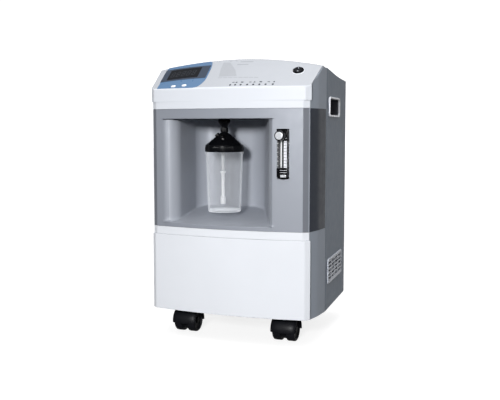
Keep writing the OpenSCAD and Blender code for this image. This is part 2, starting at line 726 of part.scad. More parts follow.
module sieve_bed(i) {
  p = bed_pos[i];
  color("#c9ccd2") translate([p[0], p[1], 90]) union() {
    cylinder(r = 36, h = 320);
    cylinder(r = 38.2, h = 14);
    translate([0, 0, 306]) cylinder(r = 38.2, h = 14);
    translate([0, 0, 320]) cylinder(r = 7, h = 14);
  }
}
module left_sieve_bed() { seat() sieve_bed(0); }
module right_sieve_bed() { seat() sieve_bed(1); }
module oxygen_tank() {
  seat() color("#d4d6db") translate([tank_pos[0], tank_pos[1], 90]) union() {
    cylinder(r = 30, h = 230);
    translate([0, 0, 230]) cylinder(r1 = 30, r2 = 16, h = 12);
    translate([0, 0, 240]) cylinder(r = 6, h = 16);
  }
}
module valve_block() {
  seat() color("#a9adb6") translate([-76, 112, 425]) union() {
    slab(-56, 56, -18, 18, 0, 26);
    for (x = [-42, -14, 14, 42]) translate([x, 0, 26]) cylinder(r = 10, h = 30);
    for (x = [-42, 14]) translate([x, -18, 12]) rotate([90, 0, 0]) cylinder(r = 4, h = 10);
  }
}
module heat_exchanger() {
  seat() color("#b87848") translate([112, 55, 270]) union() {
    for (j = [0:7]) translate([0, 0, j * 14]) rotate_extrude() translate([24, 0]) circle(r = 3.6, $fn = 24);
    translate([24, 0, 0]) cylinder(r = 3, h = 98);
    translate([-24, 0, 0]) cylinder(r = 3, h = 98);
  }
}
module control_board() {
  seat() color("#2f6b4a") translate([105, 132, 420]) union() {
    slab(-50, 50, -1, 0.6, -48, 48);
    slab(-36, -12, -24, -1, 4, 34);
    for (x = [2, 18, 34]) translate([x, -1, 24]) rotate([90, 0, 0]) cylinder(r = 6.5, h = 20);
    slab(0, 36, -9, -1, -34, -8);
    slab(-40, -14, -14, -1, -38, -18);
  }
}

top_cover();
rear_top_cover();
mid_front_panel();
waist_rail();
lower_front_panel();
left_corner_panel();
right_corner_panel();
left_trim_inlay();
right_trim_inlay();
left_side_panel();
right_side_panel();
rear_panel();
base_tray();
left_hand_grip();
right_hand_grip();
left_vent_grille();
right_vent_grille();
filter_cover();
foam_filter();
power_inlet();
breaker_body();
breaker_button();
display_label();
lcd_window();
left_button();
right_button();
switch_bezel();
switch_rocker();
flowmeter_body();
flowmeter_ends();
flowmeter_scale();
flowmeter_float();
flowmeter_knob();
outlet_fitting();
connector_nut();
humidifier_lid();
jar_gasket();
humidifier_jar();
down_tube();
castor_front_left();
castor_front_right();
castor_rear_left();
castor_rear_right();
wheels_front_left();
wheels_front_right();
wheels_rear_left();
wheels_rear_right();
inner_shelf();
compressor();
compressor_rotor();
rubber_mounts();
cooling_fan_frame();
cooling_fan_rotor();
left_sieve_bed();
right_sieve_bed();
oxygen_tank();
valve_block();
heat_exchanger();
control_board();
cover_screws();
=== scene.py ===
import bpy, bmesh, json, math
from mathutils import Vector, Matrix


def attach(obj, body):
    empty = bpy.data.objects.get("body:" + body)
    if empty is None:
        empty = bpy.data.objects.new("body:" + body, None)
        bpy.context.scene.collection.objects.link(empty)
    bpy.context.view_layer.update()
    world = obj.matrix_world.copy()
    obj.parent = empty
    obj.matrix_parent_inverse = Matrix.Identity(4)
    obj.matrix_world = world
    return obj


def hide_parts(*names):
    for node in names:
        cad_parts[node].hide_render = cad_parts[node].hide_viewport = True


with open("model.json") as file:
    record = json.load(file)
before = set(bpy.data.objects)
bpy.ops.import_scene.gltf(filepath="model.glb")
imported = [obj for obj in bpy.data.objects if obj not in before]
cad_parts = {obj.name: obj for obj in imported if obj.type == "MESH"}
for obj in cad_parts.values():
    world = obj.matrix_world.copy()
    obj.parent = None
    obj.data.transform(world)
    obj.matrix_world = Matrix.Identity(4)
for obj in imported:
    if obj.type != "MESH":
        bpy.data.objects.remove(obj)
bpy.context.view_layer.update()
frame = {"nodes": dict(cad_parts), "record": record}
YS = 10.0            # the cabinet is drawn about y = 0, then moved back by this, in mm

# ------------------------------------------------------------------ materials
def mat_new(name):
    m = bpy.data.materials.new(name)
    m.use_nodes = True
    nt = m.node_tree
    b = nt.nodes["Principled BSDF"]
    return m, nt, b

def n_(nt, kind, **kw):
    nd = nt.nodes.new(kind)
    for k, v in kw.items():
        setattr(nd, k, v)
    return nd

def coords(nt):
    return n_(nt, "ShaderNodeTexCoord").outputs["Object"]

def noise(nt, vec, scale, detail=2.0, rough=0.5):
    nz = n_(nt, "ShaderNodeTexNoise")
    nz.inputs["Scale"].default_value = scale
    nz.inputs["Detail"].default_value = detail
    nz.inputs["Roughness"].default_value = rough
    nt.links.new(vec, nz.inputs["Vector"])
    return nz.outputs["Fac"]

def mapr(nt, fac, lo, hi, a=0.3, b=0.7):
    r = n_(nt, "ShaderNodeMapRange")
    r.inputs["From Min"].default_value = a
    r.inputs["From Max"].default_value = b
    r.inputs["To Min"].default_value = lo
    r.inputs["To Max"].default_value = hi
    nt.links.new(fac, r.inputs["Value"])
    return r.outputs["Result"]

def mixc(nt, fac, c1, c2):
    mx = n_(nt, "ShaderNodeMix", data_type="RGBA")
    nt.links.new(fac, mx.inputs[0])
    for sock, c in ((mx.inputs[6], c1), (mx.inputs[7], c2)):
        if isinstance(c, (tuple, list)):
            sock.default_value = (*c[:3], 1.0)
        else:
            nt.links.new(c, sock)
    return mx.outputs[2]

def scaled(c, k):
    return tuple(min(1.0, v * k) for v in c)

def plastic(name, col, rough=0.4, var=0.04, grain=1400.0, bump=0.06, coat=0.0, metallic=0.0, spec=0.5,
            rvar=0.05, grad=None):
    """Moulded plastic: faint colour drift, spark-eroded grain, uneven gloss."""
    m, nt, b = mat_new(name)
    v = coords(nt)
    big = noise(nt, v, 9.0, 3.0)
    c = mixc(nt, mapr(nt, big, 0.0, 1.0), scaled(col, 1.0 - var), scaled(col, 1.0 + var))
    nt.links.new(c, b.inputs["Base Color"])
    mid = noise(nt, v, 60.0, 4.0, 0.6)
    nt.links.new(mapr(nt, mid, rough - rvar, rough + rvar), b.inputs["Roughness"])
    fine = noise(nt, v, grain, 2.0, 0.6)
    bp = n_(nt, "ShaderNodeBump")
    bp.inputs["Strength"].default_value = bump
    bp.inputs["Distance"].default_value = 0.0004
    nt.links.new(fine, bp.inputs["Height"])
    nt.links.new(bp.outputs["Normal"], b.inputs["Normal"])
    b.inputs["Metallic"].default_value = metallic
    b.inputs["Specular IOR Level"].default_value = spec
    if coat:
        b.inputs["Coat Weight"].default_value = coat
        b.inputs["Coat Roughness"].default_value = 0.08
    return m

M = {}
M["white_shell"] = plastic("white_shell", (0.69, 0.712, 0.755), 0.44, 0.015, 1500, 0.05, spec=0.18)
M["fascia_white"] = plastic("fascia_white", (0.42, 0.44, 0.478), 0.42, 0.015, 1100, 0.10)
M["corner_grey"] = plastic("corner_grey", (0.325, 0.36, 0.415), 0.5, 0.03, 1300, 0.1, spec=0.35)
M["grey_shell"] = plastic("grey_shell", (0.193, 0.232, 0.292), 0.52, 0.03, 1300, 0.12, spec=0.3)
M["panel_grey"] = plastic("panel_grey", (0.250, 0.268, 0.307), 0.46, 0.02, 2200, 0.05, metallic=0.08, spec=0.4)
# lighter copy of panel_grey for the niche lining: painted light, since less light reaches inside the niche
M["niche_grey_painted_light"] = plastic("niche_grey_painted_light", (0.325, 0.345, 0.388), 0.48, 0.02, 2200, 0.05, metallic=0.1, spec=0.4)
M["charcoal_trim"] = plastic("charcoal_trim", (0.024, 0.031, 0.047), 0.38, 0.05, 1500, 0.08)
M["grip_white"] = plastic("grip_white", (0.80, 0.82, 0.87), 0.28, 0.02, 1500, 0.04, coat=0.2)
M["grip_dark"] = plastic("grip_dark", (0.055, 0.06, 0.075), 0.5, 0.05, 1200, 0.15)
M["grille_grey"] = plastic("grille_grey", (0.50, 0.53, 0.59), 0.4, 0.03, 1300, 0.1)
M["dark_plastic"] = plastic("dark_plastic", (0.10, 0.107, 0.125), 0.5, 0.05, 1200, 0.15)
M["black_plastic"] = plastic("black_plastic", (0.016, 0.016, 0.019), 0.48, 0.1, 1100, 0.18)
M["black_gloss"] = plastic("black_gloss", (0.0030, 0.0032, 0.0042), 0.20, 0.1, 500, 0.03, coat=0.04, rvar=0.04, spec=0.14)
M["button_white"] = plastic("button_white", (0.85, 0.86, 0.88), 0.3, 0.02, 900, 0.04, coat=0.3)
M["scale_white"] = plastic("scale_white", (0.85, 0.86, 0.88), 0.4, 0.02, 900, 0.03)
M["tube_white"] = plastic("tube_white", (0.86, 0.87, 0.90), 0.35, 0.03, 700, 0.05)
# darker copy of tube_white for the tube above the collar: painted shadow of the lid
M["tube_upper_painted_shade"] = plastic("tube_upper_painted_shade", (0.46, 0.475, 0.50), 0.35, 0.03, 700, 0.05)
M["float_black"] = plastic("float_black", (0.02, 0.02, 0.025), 0.2, 0.05, 900, 0.03, coat=0.5)
M["castor_black"] = plastic("castor_black", (0.005, 0.0055, 0.0075), 0.46, 0.1, 900, 0.12, rvar=0.08, spec=0.16)
M["tyre"] = plastic("tyre", (0.006, 0.0065, 0.009), 0.58, 0.15, 700, 0.3, rvar=0.1, spec=0.2)
M["rubber"] = plastic("rubber", (0.022, 0.022, 0.025), 0.7, 0.1, 600, 0.3)
M["tray_steel"] = plastic("tray_steel", (0.42, 0.43, 0.45), 0.42, 0.08, 300, 0.1, metallic=0.85)
M["cast_alloy"] = plastic("cast_alloy", (0.52, 0.53, 0.55), 0.5, 0.06, 500, 0.35, metallic=0.9)
M["rotor_steel"] = plastic("rotor_steel", (0.38, 0.39, 0.41), 0.3, 0.06, 500, 0.1, metallic=0.95)
M["copper"] = plastic("copper", (0.72, 0.33, 0.18), 0.3, 0.08, 300, 0.1, metallic=0.95)
M["screw_steel"] = plastic("screw_steel", (0.46, 0.46, 0.48), 0.3, 0.05, 900, 0.1, metallic=0.95)
M["print_grey"] = plastic("print_grey", (0.035, 0.04, 0.055), 0.5, 0.03, 900, 0.02, spec=0.1)
M["print_pale"] = plastic("print_pale", (0.325, 0.34, 0.375), 0.5, 0.03, 900, 0.02, spec=0.3)
M["print_soft"] = plastic("print_soft", (0.372, 0.388, 0.422), 0.5, 0.03, 900, 0.02, spec=0.35)
# darker copy of panel_grey for the side chamfer faces: painted shade
M["panel_chamfer_painted_shade"] = plastic("panel_chamfer_painted_shade", (0.155, 0.166, 0.192), 0.46, 0.02, 2200, 0.05, spec=0.4)
# slightly darker copy of white_shell for the top cover: painted shade that dims the lip
M["top_cover_white_painted_shade"] = plastic("top_cover_white_painted_shade", (0.635, 0.660, 0.708), 0.44, 0.015, 1500, 0.05, spec=0.18)
M["switch_black"] = plastic("switch_black", (0.006, 0.0065, 0.009), 0.40, 0.1, 900, 0.03, spec=0.06)
# near black for the niche ceiling faces: painted shade
M["niche_roof_painted_shade"] = plastic("niche_roof_painted_shade", (0.045, 0.05, 0.062), 0.5, 0.03, 1500, 0.08, spec=0.2)
M["print_blue"] = plastic("print_blue", (0.50, 0.66, 0.84), 0.4, 0.03, 900, 0.02)
M["seam_dark"] = plastic("seam_dark", (0.05, 0.055, 0.065), 0.6, 0.05, 900, 0.05)

def label_mat():
    m, nt, b = mat_new("label_blue")
    v = coords(nt)
    sep = n_(nt, "ShaderNodeSeparateXYZ")
    nt.links.new(v, sep.inputs[0])
    g = mapr(nt, sep.outputs["Y"], 0.0, 1.0, -0.160, -0.070)
    c = mixc(nt, g, (0.062, 0.158, 0.305), (0.052, 0.134, 0.270))
    c2 = mixc(nt, mapr(nt, noise(nt, v, 30.0, 2.0), 0.0, 0.12), c, (0.082, 0.182, 0.325))
    nt.links.new(c2, b.inputs["Base Color"])
    nt.links.new(mapr(nt, noise(nt, v, 80.0, 3.0), 0.26, 0.36), b.inputs["Roughness"])
    bp = n_(nt, "ShaderNodeBump")
    bp.inputs["Strength"].default_value = 0.04
    bp.inputs["Distance"].default_value = 0.0003
    nt.links.new(noise(nt, v, 1800.0), bp.inputs["Height"])
    nt.links.new(bp.outputs["Normal"], b.inputs["Normal"])
    return m
M["label_blue"] = label_mat()

def lcd_mat():
    m, nt, b = mat_new("lcd_window")
    v = coords(nt)
    c = mixc(nt, mapr(nt, noise(nt, v, 25.0, 3.0), 0.0, 1.0), (0.030, 0.044, 0.072), (0.038, 0.054, 0.084))
    nt.links.new(c, b.inputs["Base Color"])
    nt.links.new(mapr(nt, noise(nt, v, 50.0, 3.0), 0.30, 0.42), b.inputs["Roughness"])
    b.inputs["Specular IOR Level"].default_value = 0.12
    return m
M["lcd"] = lcd_mat()
M["lcd_glass"] = plastic("lcd_glass", (0.004, 0.005, 0.008), 0.35, 0.1, 900, 0.02, spec=0.05)
M["lcd_seg"] = plastic("lcd_seg", (0.036, 0.042, 0.052), 0.4, 0.05, 900, 0.02, spec=0.1)

def frosted(name, col, alpha, edge, rough, painted_glow=(0.0, 0.0)):
    m, nt, b = mat_new(name)
    v = coords(nt)
    c = mixc(nt, mapr(nt, noise(nt, v, 22.0, 3.0), 0.0, 1.0), scaled(col, 0.97), scaled(col, 1.03))
    nt.links.new(c, b.inputs["Base Color"])
    nt.links.new(mapr(nt, noise(nt, v, 45.0, 4.0), rough - 0.05, rough + 0.05), b.inputs["Roughness"])
    lw = n_(nt, "ShaderNodeLayerWeight"); lw.inputs["Blend"].default_value = 0.5
    pw = n_(nt, "ShaderNodeMath", operation="POWER"); pw.inputs[1].default_value = 3.0
    nt.links.new(lw.outputs["Facing"], pw.inputs[0])
    r = n_(nt, "ShaderNodeMapRange")
    r.inputs["To Min"].default_value = alpha; r.inputs["To Max"].default_value = edge
    nt.links.new(pw.outputs[0], r.inputs["Value"])
    nt.links.new(r.outputs["Result"], b.inputs["Alpha"])
    # emission that grows towards the grazing edges: painted glow and edge highlight
    g = n_(nt, "ShaderNodeMapRange")
    g.inputs["To Min"].default_value = painted_glow[0]; g.inputs["To Max"].default_value = painted_glow[1]
    nt.links.new(pw.outputs[0], g.inputs["Value"])
    nt.links.new(g.outputs["Result"], b.inputs["Emission Strength"])
    b.inputs["Emission Color"].default_value = (0.93, 0.96, 1.0, 1.0)
    bp = n_(nt, "ShaderNodeBump")
    bp.inputs["Strength"].default_value = 0.08
    bp.inputs["Distance"].default_value = 0.0004
    nt.links.new(noise(nt, v, 1100.0), bp.inputs["Height"])
    nt.links.new(bp.outputs["Normal"], b.inputs["Normal"])
    return m
# the jar wall glows faintly all over and more at its edges: painted glow
M["jar_frosted"] = frosted("jar_frosted", (0.60, 0.625, 0.665), 0.135, 0.55, 0.34, (0.03, 0.75))
# whiter and more opaque for the thick base ring, with a stronger painted glow
M["jar_base"] = frosted("jar_base", (0.84, 0.86, 0.89), 0.34, 0.85, 0.30, (0.10, 0.75))

def acrylic_mat():
    m, nt, b = mat_new("acrylic")
    v = coords(nt)
    c = mixc(nt, mapr(nt, noise(nt, v, 20.0, 2.0), 0.0, 1.0), (0.80, 0.83, 0.87), (0.86, 0.88, 0.91))
    nt.links.new(c, b.inputs["Base Color"])
    nt.links.new(mapr(nt, noise(nt, v, 60.0, 3.0), 0.08, 0.14), b.inputs["Roughness"])
    lw = n_(nt, "ShaderNodeLayerWeight"); lw.inputs["Blend"].default_value = 0.35
    r = n_(nt, "ShaderNodeMapRange")
    r.inputs["To Min"].default_value = 0.025; r.inputs["To Max"].default_value = 0.30
    nt.links.new(lw.outputs["Fresnel"], r.inputs["Value"])
    nt.links.new(r.outputs["Result"], b.inputs["Alpha"])
    return m
M["acrylic"] = acrylic_mat()

def chrome_mat():
    m, nt, b = mat_new("knob_face")
    v = coords(nt)
    c = mixc(nt, mapr(nt, noise(nt, v, 120.0, 3.0), 0.0, 1.0), (0.60, 0.62, 0.66), (0.68, 0.70, 0.73))
    nt.links.new(c, b.inputs["Base Color"])
    nt.links.new(mapr(nt, noise(nt, v, 200.0, 3.0), 0.20, 0.30), b.inputs["Roughness"])
    b.inputs["Metallic"].default_value = 0.3
    return m
M["knob"] = chrome_mat()

def foam_mat():
    m, nt, b = mat_new("foam")
    v = coords(nt)
    vo = n_(nt, "ShaderNodeTexVoronoi")
    vo.inputs["Scale"].default_value = 700.0
    nt.links.new(v, vo.inputs["Vector"])
    c = mixc(nt, mapr(nt, vo.outputs["Distance"], 0.0, 1.0, 0.1, 0.7), (0.006, 0.006, 0.007), (0.05, 0.05, 0.055))
    nt.links.new(c, b.inputs["Base Color"])
    nt.links.new(mapr(nt, noise(nt, v, 50.0), 0.85, 0.95), b.inputs["Roughness"])
    bp = n_(nt, "ShaderNodeBump")
    bp.inputs["Strength"].default_value = 0.8
    bp.inputs["Distance"].default_value = 0.0008
    nt.links.new(vo.outputs["Distance"], bp.inputs["Height"])
    nt.links.new(bp.outputs["Normal"], b.inputs["Normal"])
    return m
M["foam"] = foam_mat()
M["pcb_green"] = plastic("pcb_green", (0.02, 0.16, 0.07), 0.35, 0.15, 300, 0.2)

# ------------------------------------------------------------------ mesh tools
def obj_from(name, verts, faces, mat, body="cabinet", sharp=40.0):
    me = bpy.data.meshes.new(name)
    me.from_pydata([(x * 0.001, (y + YS) * 0.001, z * 0.001) for x, y, z in verts], [], faces)
    me.validate(clean_customdata=False)
    bm = bmesh.new(); bm.from_mesh(me)
    bmesh.ops.remove_doubles(bm, verts=bm.verts, dist=1e-6)
    bmesh.ops.recalc_face_normals(bm, faces=bm.faces)
    bm.to_mesh(me); bm.free()
    me.polygons.foreach_set("use_smooth", [True] * len(me.polygons))
    me.set_sharp_from_angle(angle=math.radians(sharp))
    ob = bpy.data.objects.new(name, me)
    bpy.context.scene.collection.objects.link(ob)
    for m in (mat if isinstance(mat, (list, tuple)) else [mat]):
        me.materials.append(m)
    if body:
        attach(ob, body)
    return ob

def mod_bevel(ob, w=0.7, seg=3, ang=50.0):
    b = ob.modifiers.new("bevel", "BEVEL")
    b.width = w * 0.001; b.segments = seg; b.limit_method = "ANGLE"; b.angle_limit = math.radians(ang)
    b.harden_normals = False; b.use_clamp_overlap = True; b.miter_outer = "MITER_ARC"
    return b

def mod_wn(ob):
    w = ob.modifiers.new("wn", "WEIGHTED_NORMAL")
    w.keep_sharp = True; w.weight = 80
    return w

def mod_solid(ob, t, offset=-1.0):
    s = ob.modifiers.new("solid", "SOLIDIFY")
    s.thickness = t * 0.001; s.offset = offset; s.use_even_offset = True; s.use_quality_normals = True
    return s

def cut(ob, cutter):
    m = ob.modifiers.new("cut", "BOOLEAN")
    m.operation = "DIFFERENCE"; m.object = cutter; m.solver = "EXACT"

def apply_mods(ob):
    dg = bpy.context.evaluated_depsgraph_get()
    ev = ob.evaluated_get(dg)
    me = bpy.data.meshes.new_from_object(ev)
    ob.modifiers.clear()
    old = ob.data
    ob.data = me
    bpy.data.meshes.remove(old)

def cutter_obj(name, verts, faces):
    ob = obj_from(name, verts, faces, M["seam_dark"], body=None)
    return ob

def drop(ob):
    me = ob.data
    bpy.data.objects.remove(ob)
    bpy.data.meshes.remove(me)

def box_mesh(x0, x1, y0, y1, z0, z1):
    v = [(x, y, z) for z in (z0, z1) for y in (y0, y1) for x in (x0, x1)]
    f = [(0, 2, 3, 1), (4, 5, 7, 6), (0, 1, 5, 4), (2, 6, 7, 3), (0, 4, 6, 2), (1, 3, 7, 5)]
    return v, f

def grid(rows, close_u=False):
    """Quads between rows of equally many points."""
    n = len(rows[0]); v = [p for r in rows for p in r]; f = []
    for j in range(len(rows) - 1):
        for i in range(n if close_u else n - 1):
            k = (i + 1) % n
            f.append((j * n + i, j * n + k, (j + 1) * n + k, (j + 1) * n + i))
    return v, f

def lathe(prof, n=96, cx=0.0, cy=0.0, a0=0.0, ribs=0, rib_depth=0.0, rib_rows=()):
    """Closed surface of revolution about a vertical axis; prof is (r, z) from the axis back to the axis or a closed loop."""
    rows = []
    for j, (r, z) in enumerate(prof):
        row = []
        for i in range(n):
            a = a0 + 2 * math.pi * i / n
            rr = r
            if ribs and j in rib_rows:
                rr = r - rib_depth * (0.5 + 0.5 * math.cos(ribs * a)) ** 2
            row.append((cx + rr * math.cos(a), cy + rr * math.sin(a), z))
        rows.append(row)
    return grid(rows, True)

def rounded_prof(pts, r=0.8, seg=3):
    """Rounds the corners of a polyline; r may be one number or one per point."""
    out = []
    n = len(pts)
    for i, p in enumerate(pts):
        rr = r[i] if isinstance(r, (list, tuple)) else r
        if i in (0, n - 1) or rr <= 0:
            out.append(p); continue
        a, b = Vector(pts[i - 1]), Vector(pts[i + 1]); c = Vector(p)
        u, v = (a - c), (b - c)
        lu, lv = u.length, v.length
        if lu < 1e-6 or lv < 1e-6:
            out.append(p); continue
        u.normalize(); v.normalize()
        ang = math.acos(max(-1, min(1, u.dot(v))))
        if ang > math.pi - 0.02:
            out.append(p); continue
        t = min(rr / math.tan(ang / 2), 0.45 * lu, 0.45 * lv)
        rad = t * math.tan(ang / 2)
        bis = (u + v).normalized()
        cen = c + bis * (rad / math.sin(ang / 2))
        p0, p1 = c + u * t, c + v * t
        a0 = math.atan2(p0.y - cen.y, p0.x - cen.x); a1 = math.atan2(p1.y - cen.y, p1.x - cen.x)
        d = a1 - a0
        while d > math.pi: d -= 2 * math.pi
        while d < -math.pi: d += 2 * math.pi
        for k in range(seg + 1):
            aa = a0 + d * k / seg
            out.append((cen.x + rad * math.cos(aa), cen.y + rad * math.sin(aa)))
    return out

def normals2d(path, closed=False):
    """Unit normals on the right hand side of the path's direction."""
    out = []; n = len(path)
    for i in range(n):
        a = path[(i - 1) % n] if (closed or i > 0) else path[i]
        b = path[(i + 1) % n] if (closed or i < n - 1) else path[i]
        dx, dy = b[0] - a[0], b[1] - a[1]
        l = math.hypot(dx, dy) or 1.0
        out.append((dy / l, -dx / l))
    return out

def arc_pts(cx, cy, r, a0, a1, n):
    return [(cx + r * math.cos(math.radians(a0 + (a1 - a0) * i / n)), cy + r * math.sin(math.radians(a0 + (a1 - a0) * i / n))) for i in range(n + 1)]

# ------------------------------------------------------------------ cabinet shape
RP, RM, FY = 940.0, 891.0, -173.0
SLOPE = 0.7174
FA = math.atan(SLOPE)
ARCH = 897.4
SPLIT = -148.9
def bow(x, R): return FY + R - math.sqrt(R * R - x * x)
def fascia_h(x, y): return 534.0 + SLOPE * (y - bow(x, RP))
CROWN = [(-200, 613), (-81, 600), (-60, 597.1), (-38, 594.8), (-14.5, 592.3), (20, 588.2), (57, 584.6), (85, 582.6), (114, 581), (150, 579.3), (200, 577.4)]
def crown_c(y):
    for (a, za), (b, zb) in zip(CROWN, CROWN[1:]):
        if y <= b:
            # straight line between the listed points; crown_s smooths the slope by averaging over a short stretch
            return za + (zb - za) * (y - a) / (b - a)
    return CROWN[-1][1]
def crown_s(y):
    w = 14.0
    return sum(crown_c(y + w * k / 4) for k in range(-4, 5)) / 9.0
def arch_drop(x): return ARCH - math.sqrt(ARCH * ARCH - x * x)
def crown_h(x, y): return crown_s(y) - arch_drop(x)
def smin(a, b, k):
    h = max(k - abs(a - b), 0.0) / k
    return min(a, b) - h * h * k * 0.25

def front_path(R, corner, outer, n_arc=72, n_ch=5, n_f=4, rf=3.0):
    """Plan path of a front cover from its left end to its right end: (x, y) points, equally many for both bows."""
    cx, cy = corner; ox, oy = outer
    # the chamfer runs from the corner to the outer point; a small radius joins it to the bow
    th = math.asin(cx / R)
    def on_arc(t): return (R * math.sin(t), FY + R - R * math.cos(t))
    dch = math.hypot(ox - cx, oy - cy)
    ux, uy = (ox - cx) / dch, (oy - cy) / dch
    tl = rf * 0.45
    t0 = th - tl / R
    a = on_arc(t0); b = (cx + ux * tl, cy + uy * tl)
    right = []
    for k in range(1, n_f + 1):       # quadratic blend round the corner
        s = k / n_f
        right.append(((1 - s) ** 2 * a[0] + 2 * s * (1 - s) * cx + s * s * b[0], (1 - s) ** 2 * a[1] + 2 * s * (1 - s) * cy + s * s * b[1]))
    for k in range(1, n_ch + 1):
        s = k / n_ch
        right.append((b[0] + (ox - b[0]) * s, b[1] + (oy - b[1]) * s))
    mid = [on_arc(-t0 + 2 * t0 * k / n_arc) for k in range(n_arc + 1)]
    left = [(-x, y) for x, y in reversed(right)]
    return left + mid + right

# outer ends at the split plane
P_OUT = (181.5 - (147.5 + SPLIT) / -0.8696 * 0 - 1.6, SPLIT)
PATH_P = front_path(RP, (170.0, bow(170.0, RP)), (179.9, SPLIT))
PATH_M = front_path(RM, (165.5, bow(165.5, RM)), (177.0, SPLIT))

def wall_rows(path, zs, offs=None):
    nr = normals2d(path)
    rows = []
    for k, z in enumerate(zs):
        o = offs[k] if offs else 0.0
        rows.append([(x + nx * o, y + ny * o, z(x, y) if callable(z) else z) for (x, y), (nx, ny) in zip(path, nr)])
    return rows

def shell(name, rows, mat, t=3.0, body="cabinet", bevel=0.7, node=None, cuts=(), sharp=40.0, flip=False, seg=3):
    v, f = grid(rows)
    if flip:
        f = [tuple(reversed(q)) for q in f]
    me = bpy.data.meshes.new(name)
    me.from_pydata([(x * 0.001, (y + YS) * 0.001, z * 0.001) for x, y, z in v], [], f)
    me.polygons.foreach_set("use_smooth", [True] * len(f))
    ob = bpy.data.objects.new(name, me)
    bpy.context.scene.collection.objects.link(ob)
    for m in (mat if isinstance(mat, (list, tuple)) else [mat]):
        me.materials.append(m)
    mod_solid(ob, t)
    if bevel:
        mod_bevel(ob, bevel, seg)
    for c in cuts:
        cut(ob, c)
    apply_mods(ob)
    for c in cuts:
        pass
    ob.data.polygons.foreach_set("use_smooth", [True] * len(ob.data.polygons))
    ob.data.set_sharp_from_angle(angle=math.radians(sharp))
    mod_wn(ob)
    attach(ob, body)
    if node:
        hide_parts(*([node] if isinstance(node, str) else node))
    return ob

# ---- lower front cover, waist rail
rows = wall_rows(PATH_P, [58.0, 60.0, 110.0, 170.0, 221.0, 222.8])
shell("lower_front_cover", rows, M["white_shell"], 3.0, node="lower_front_panel", bevel=0.8)
rows = wall_rows(PATH_M, [223.2, 225.0, 238.0, 239.8])
shell("waist_rail_cover", rows, M["white_shell"], 3.0, node="waist_rail", bevel=0.5)

# ---- top cover: band, step, lip, rounded edge, fascia up to the ridge
def top_cover_rows():
    rows = []
    nP = normals2d(PATH_P); nM = normals2d(PATH_M)
    def rowM(z, o=0.0): return [(x + a * o, y + b * o, z) for (x, y), (a, b) in zip(PATH_M, nM)]
    def rowP(z, o=0.0): return [(x + a * o, y + b * o, z) for (x, y), (a, b) in zip(PATH_P, nP)]
    def rowB(z, s, o=0.0):   # between band (s=0) and lip (s=1)
        return [((1 - s) * m[0] + s * p[0] + a * o, (1 - s) * m[1] + s * p[1] + b * o, z) for m, p, (a, b) in zip(PATH_M, PATH_P, nP)]
    rows += [rowM(492.1), rowM(494.0), rowM(500.0), rowM(506.2), rowM(507.0), rowB(507.2, 0.12), rowB(507.22, 0.6), rowB(507.3, 0.82), rowB(507.55, 0.95), rowB(508.1, 1.0), rowB(509.5, 1.0), rowB(518.0, 1.0)]
    rr = 3.4
    def rowF(s, dz):         # s inward, dz above the corner height
        out = []
        for (x, y), (a, b) in zip(PATH_P, nP):
            out.append((x - a * s, y - b * s, fascia_h(x, y) + dz))
        return out
    zc = -1.75
    rows.append(rowF(0.0, zc - 6.0))
    rows.append(rowF(0.0, zc - 1.5))
    for k in range(0, 5):
        ph = math.radians(54.35) * k / 5
        rows.append(rowF(rr * (1 - math.cos(ph)), zc + rr * math.sin(ph)))
    # fascia
    start = [(x - a * 1.45, y - b * 1.45) for (x, y), (a, b) in zip(PATH_P, nP)]
    xe = start[-1][0]
    steps = [0.0, 0.02, 0.06, 0.14, 0.25, 0.38, 0.52, 0.66, 0.78, 0.87, 0.92, 0.95, 0.97, 0.985, 1.0, 1.012, 1.026]
    yr = -81.0
    xr = 186.6
    for s in steps:
        row = []
        for (x, y) in start:
            X = x + (x * (xr / xe) - x) * min(s, 1.0)
            Y = y + (yr - y) * s
            z = smin(smin(fascia_h(X, Y), 600.6 - arch_drop(X), 2.5), crown_h(X, Y), 3.2)
            row.append((X, Y, z))
        rows.append(row)
    return rows
top_rows = top_cover_rows()
sw = (140.8, -114.0)
bts = [(-123.3, -157.5), (-97.2, -158.6)]

def fascia_frame(x, y, dz=0.0):
    """4x4 in metres with its origin on the fascia and Z along its outward normal."""
    z = fascia_h(x, y)
    nx = x / 1612.0
    n = Vector((nx, -math.sin(FA), math.cos(FA))).normalized()
    ex = Vector((1, 0, -nx * 0 - 0.0)); ex = (ex - n * ex.dot(n)).normalized()
    ey = n.cross(ex)
    m = Matrix((( ex.x, ey.x, n.x, 0), (ex.y, ey.y, n.y, 0), (ex.z, ey.z, n.z, 0), (0, 0, 0, 1)))
    o = Vector((x, y + YS, z)) * 0.001 + n * dz * 0.001
    m.translation = o
    return m

def place(verts, mtx):
    """Points in mm in a local frame to mm in the cabinet frame."""
    out = []
    for p in verts:
        q = mtx @ (Vector(p) * 0.001)
        out.append((q.x * 1000, q.y * 1000 - YS, q.z * 1000))
    return out

def prism_pts(outline, z0, z1):
    n = len(outline)
    v = [(x, y, z0) for x, y in outline] + [(x, y, z1) for x, y in outline]
    f = [tuple(reversed(range(n))), tuple(range(n, 2 * n))] + [(i, (i + 1) % n, n + (i + 1) % n, n + i) for i in range(n)]
    return v, f

def stadium(l, w, n=10):
    r = w / 2; c = (l - w) / 2
    return arc_pts(c, 0, r, -90, 90, n) + arc_pts(-c, 0, r, 90, 270, n)

cutters = []
for (bx, by) in bts:
    v, f = prism_pts(stadium(11.8, 7.2), -8, 8)
    cutters.append(cutter_obj("cut_b", place(v, fascia_frame(bx, by)), f))
v, f = prism_pts(arc_pts(0, 0, 10.4, 0, 360 - 7.5, 47), -30, 30)
cutters.append(cutter_obj("cut_s", place(v, fascia_frame(*sw)), f))
top = shell("top_cover_shell", top_rows, [M["white_shell"], M["fascia_white"], M["top_cover_white_painted_shade"]], 3.0, node="top_cover", bevel=0.8, cuts=cutters)
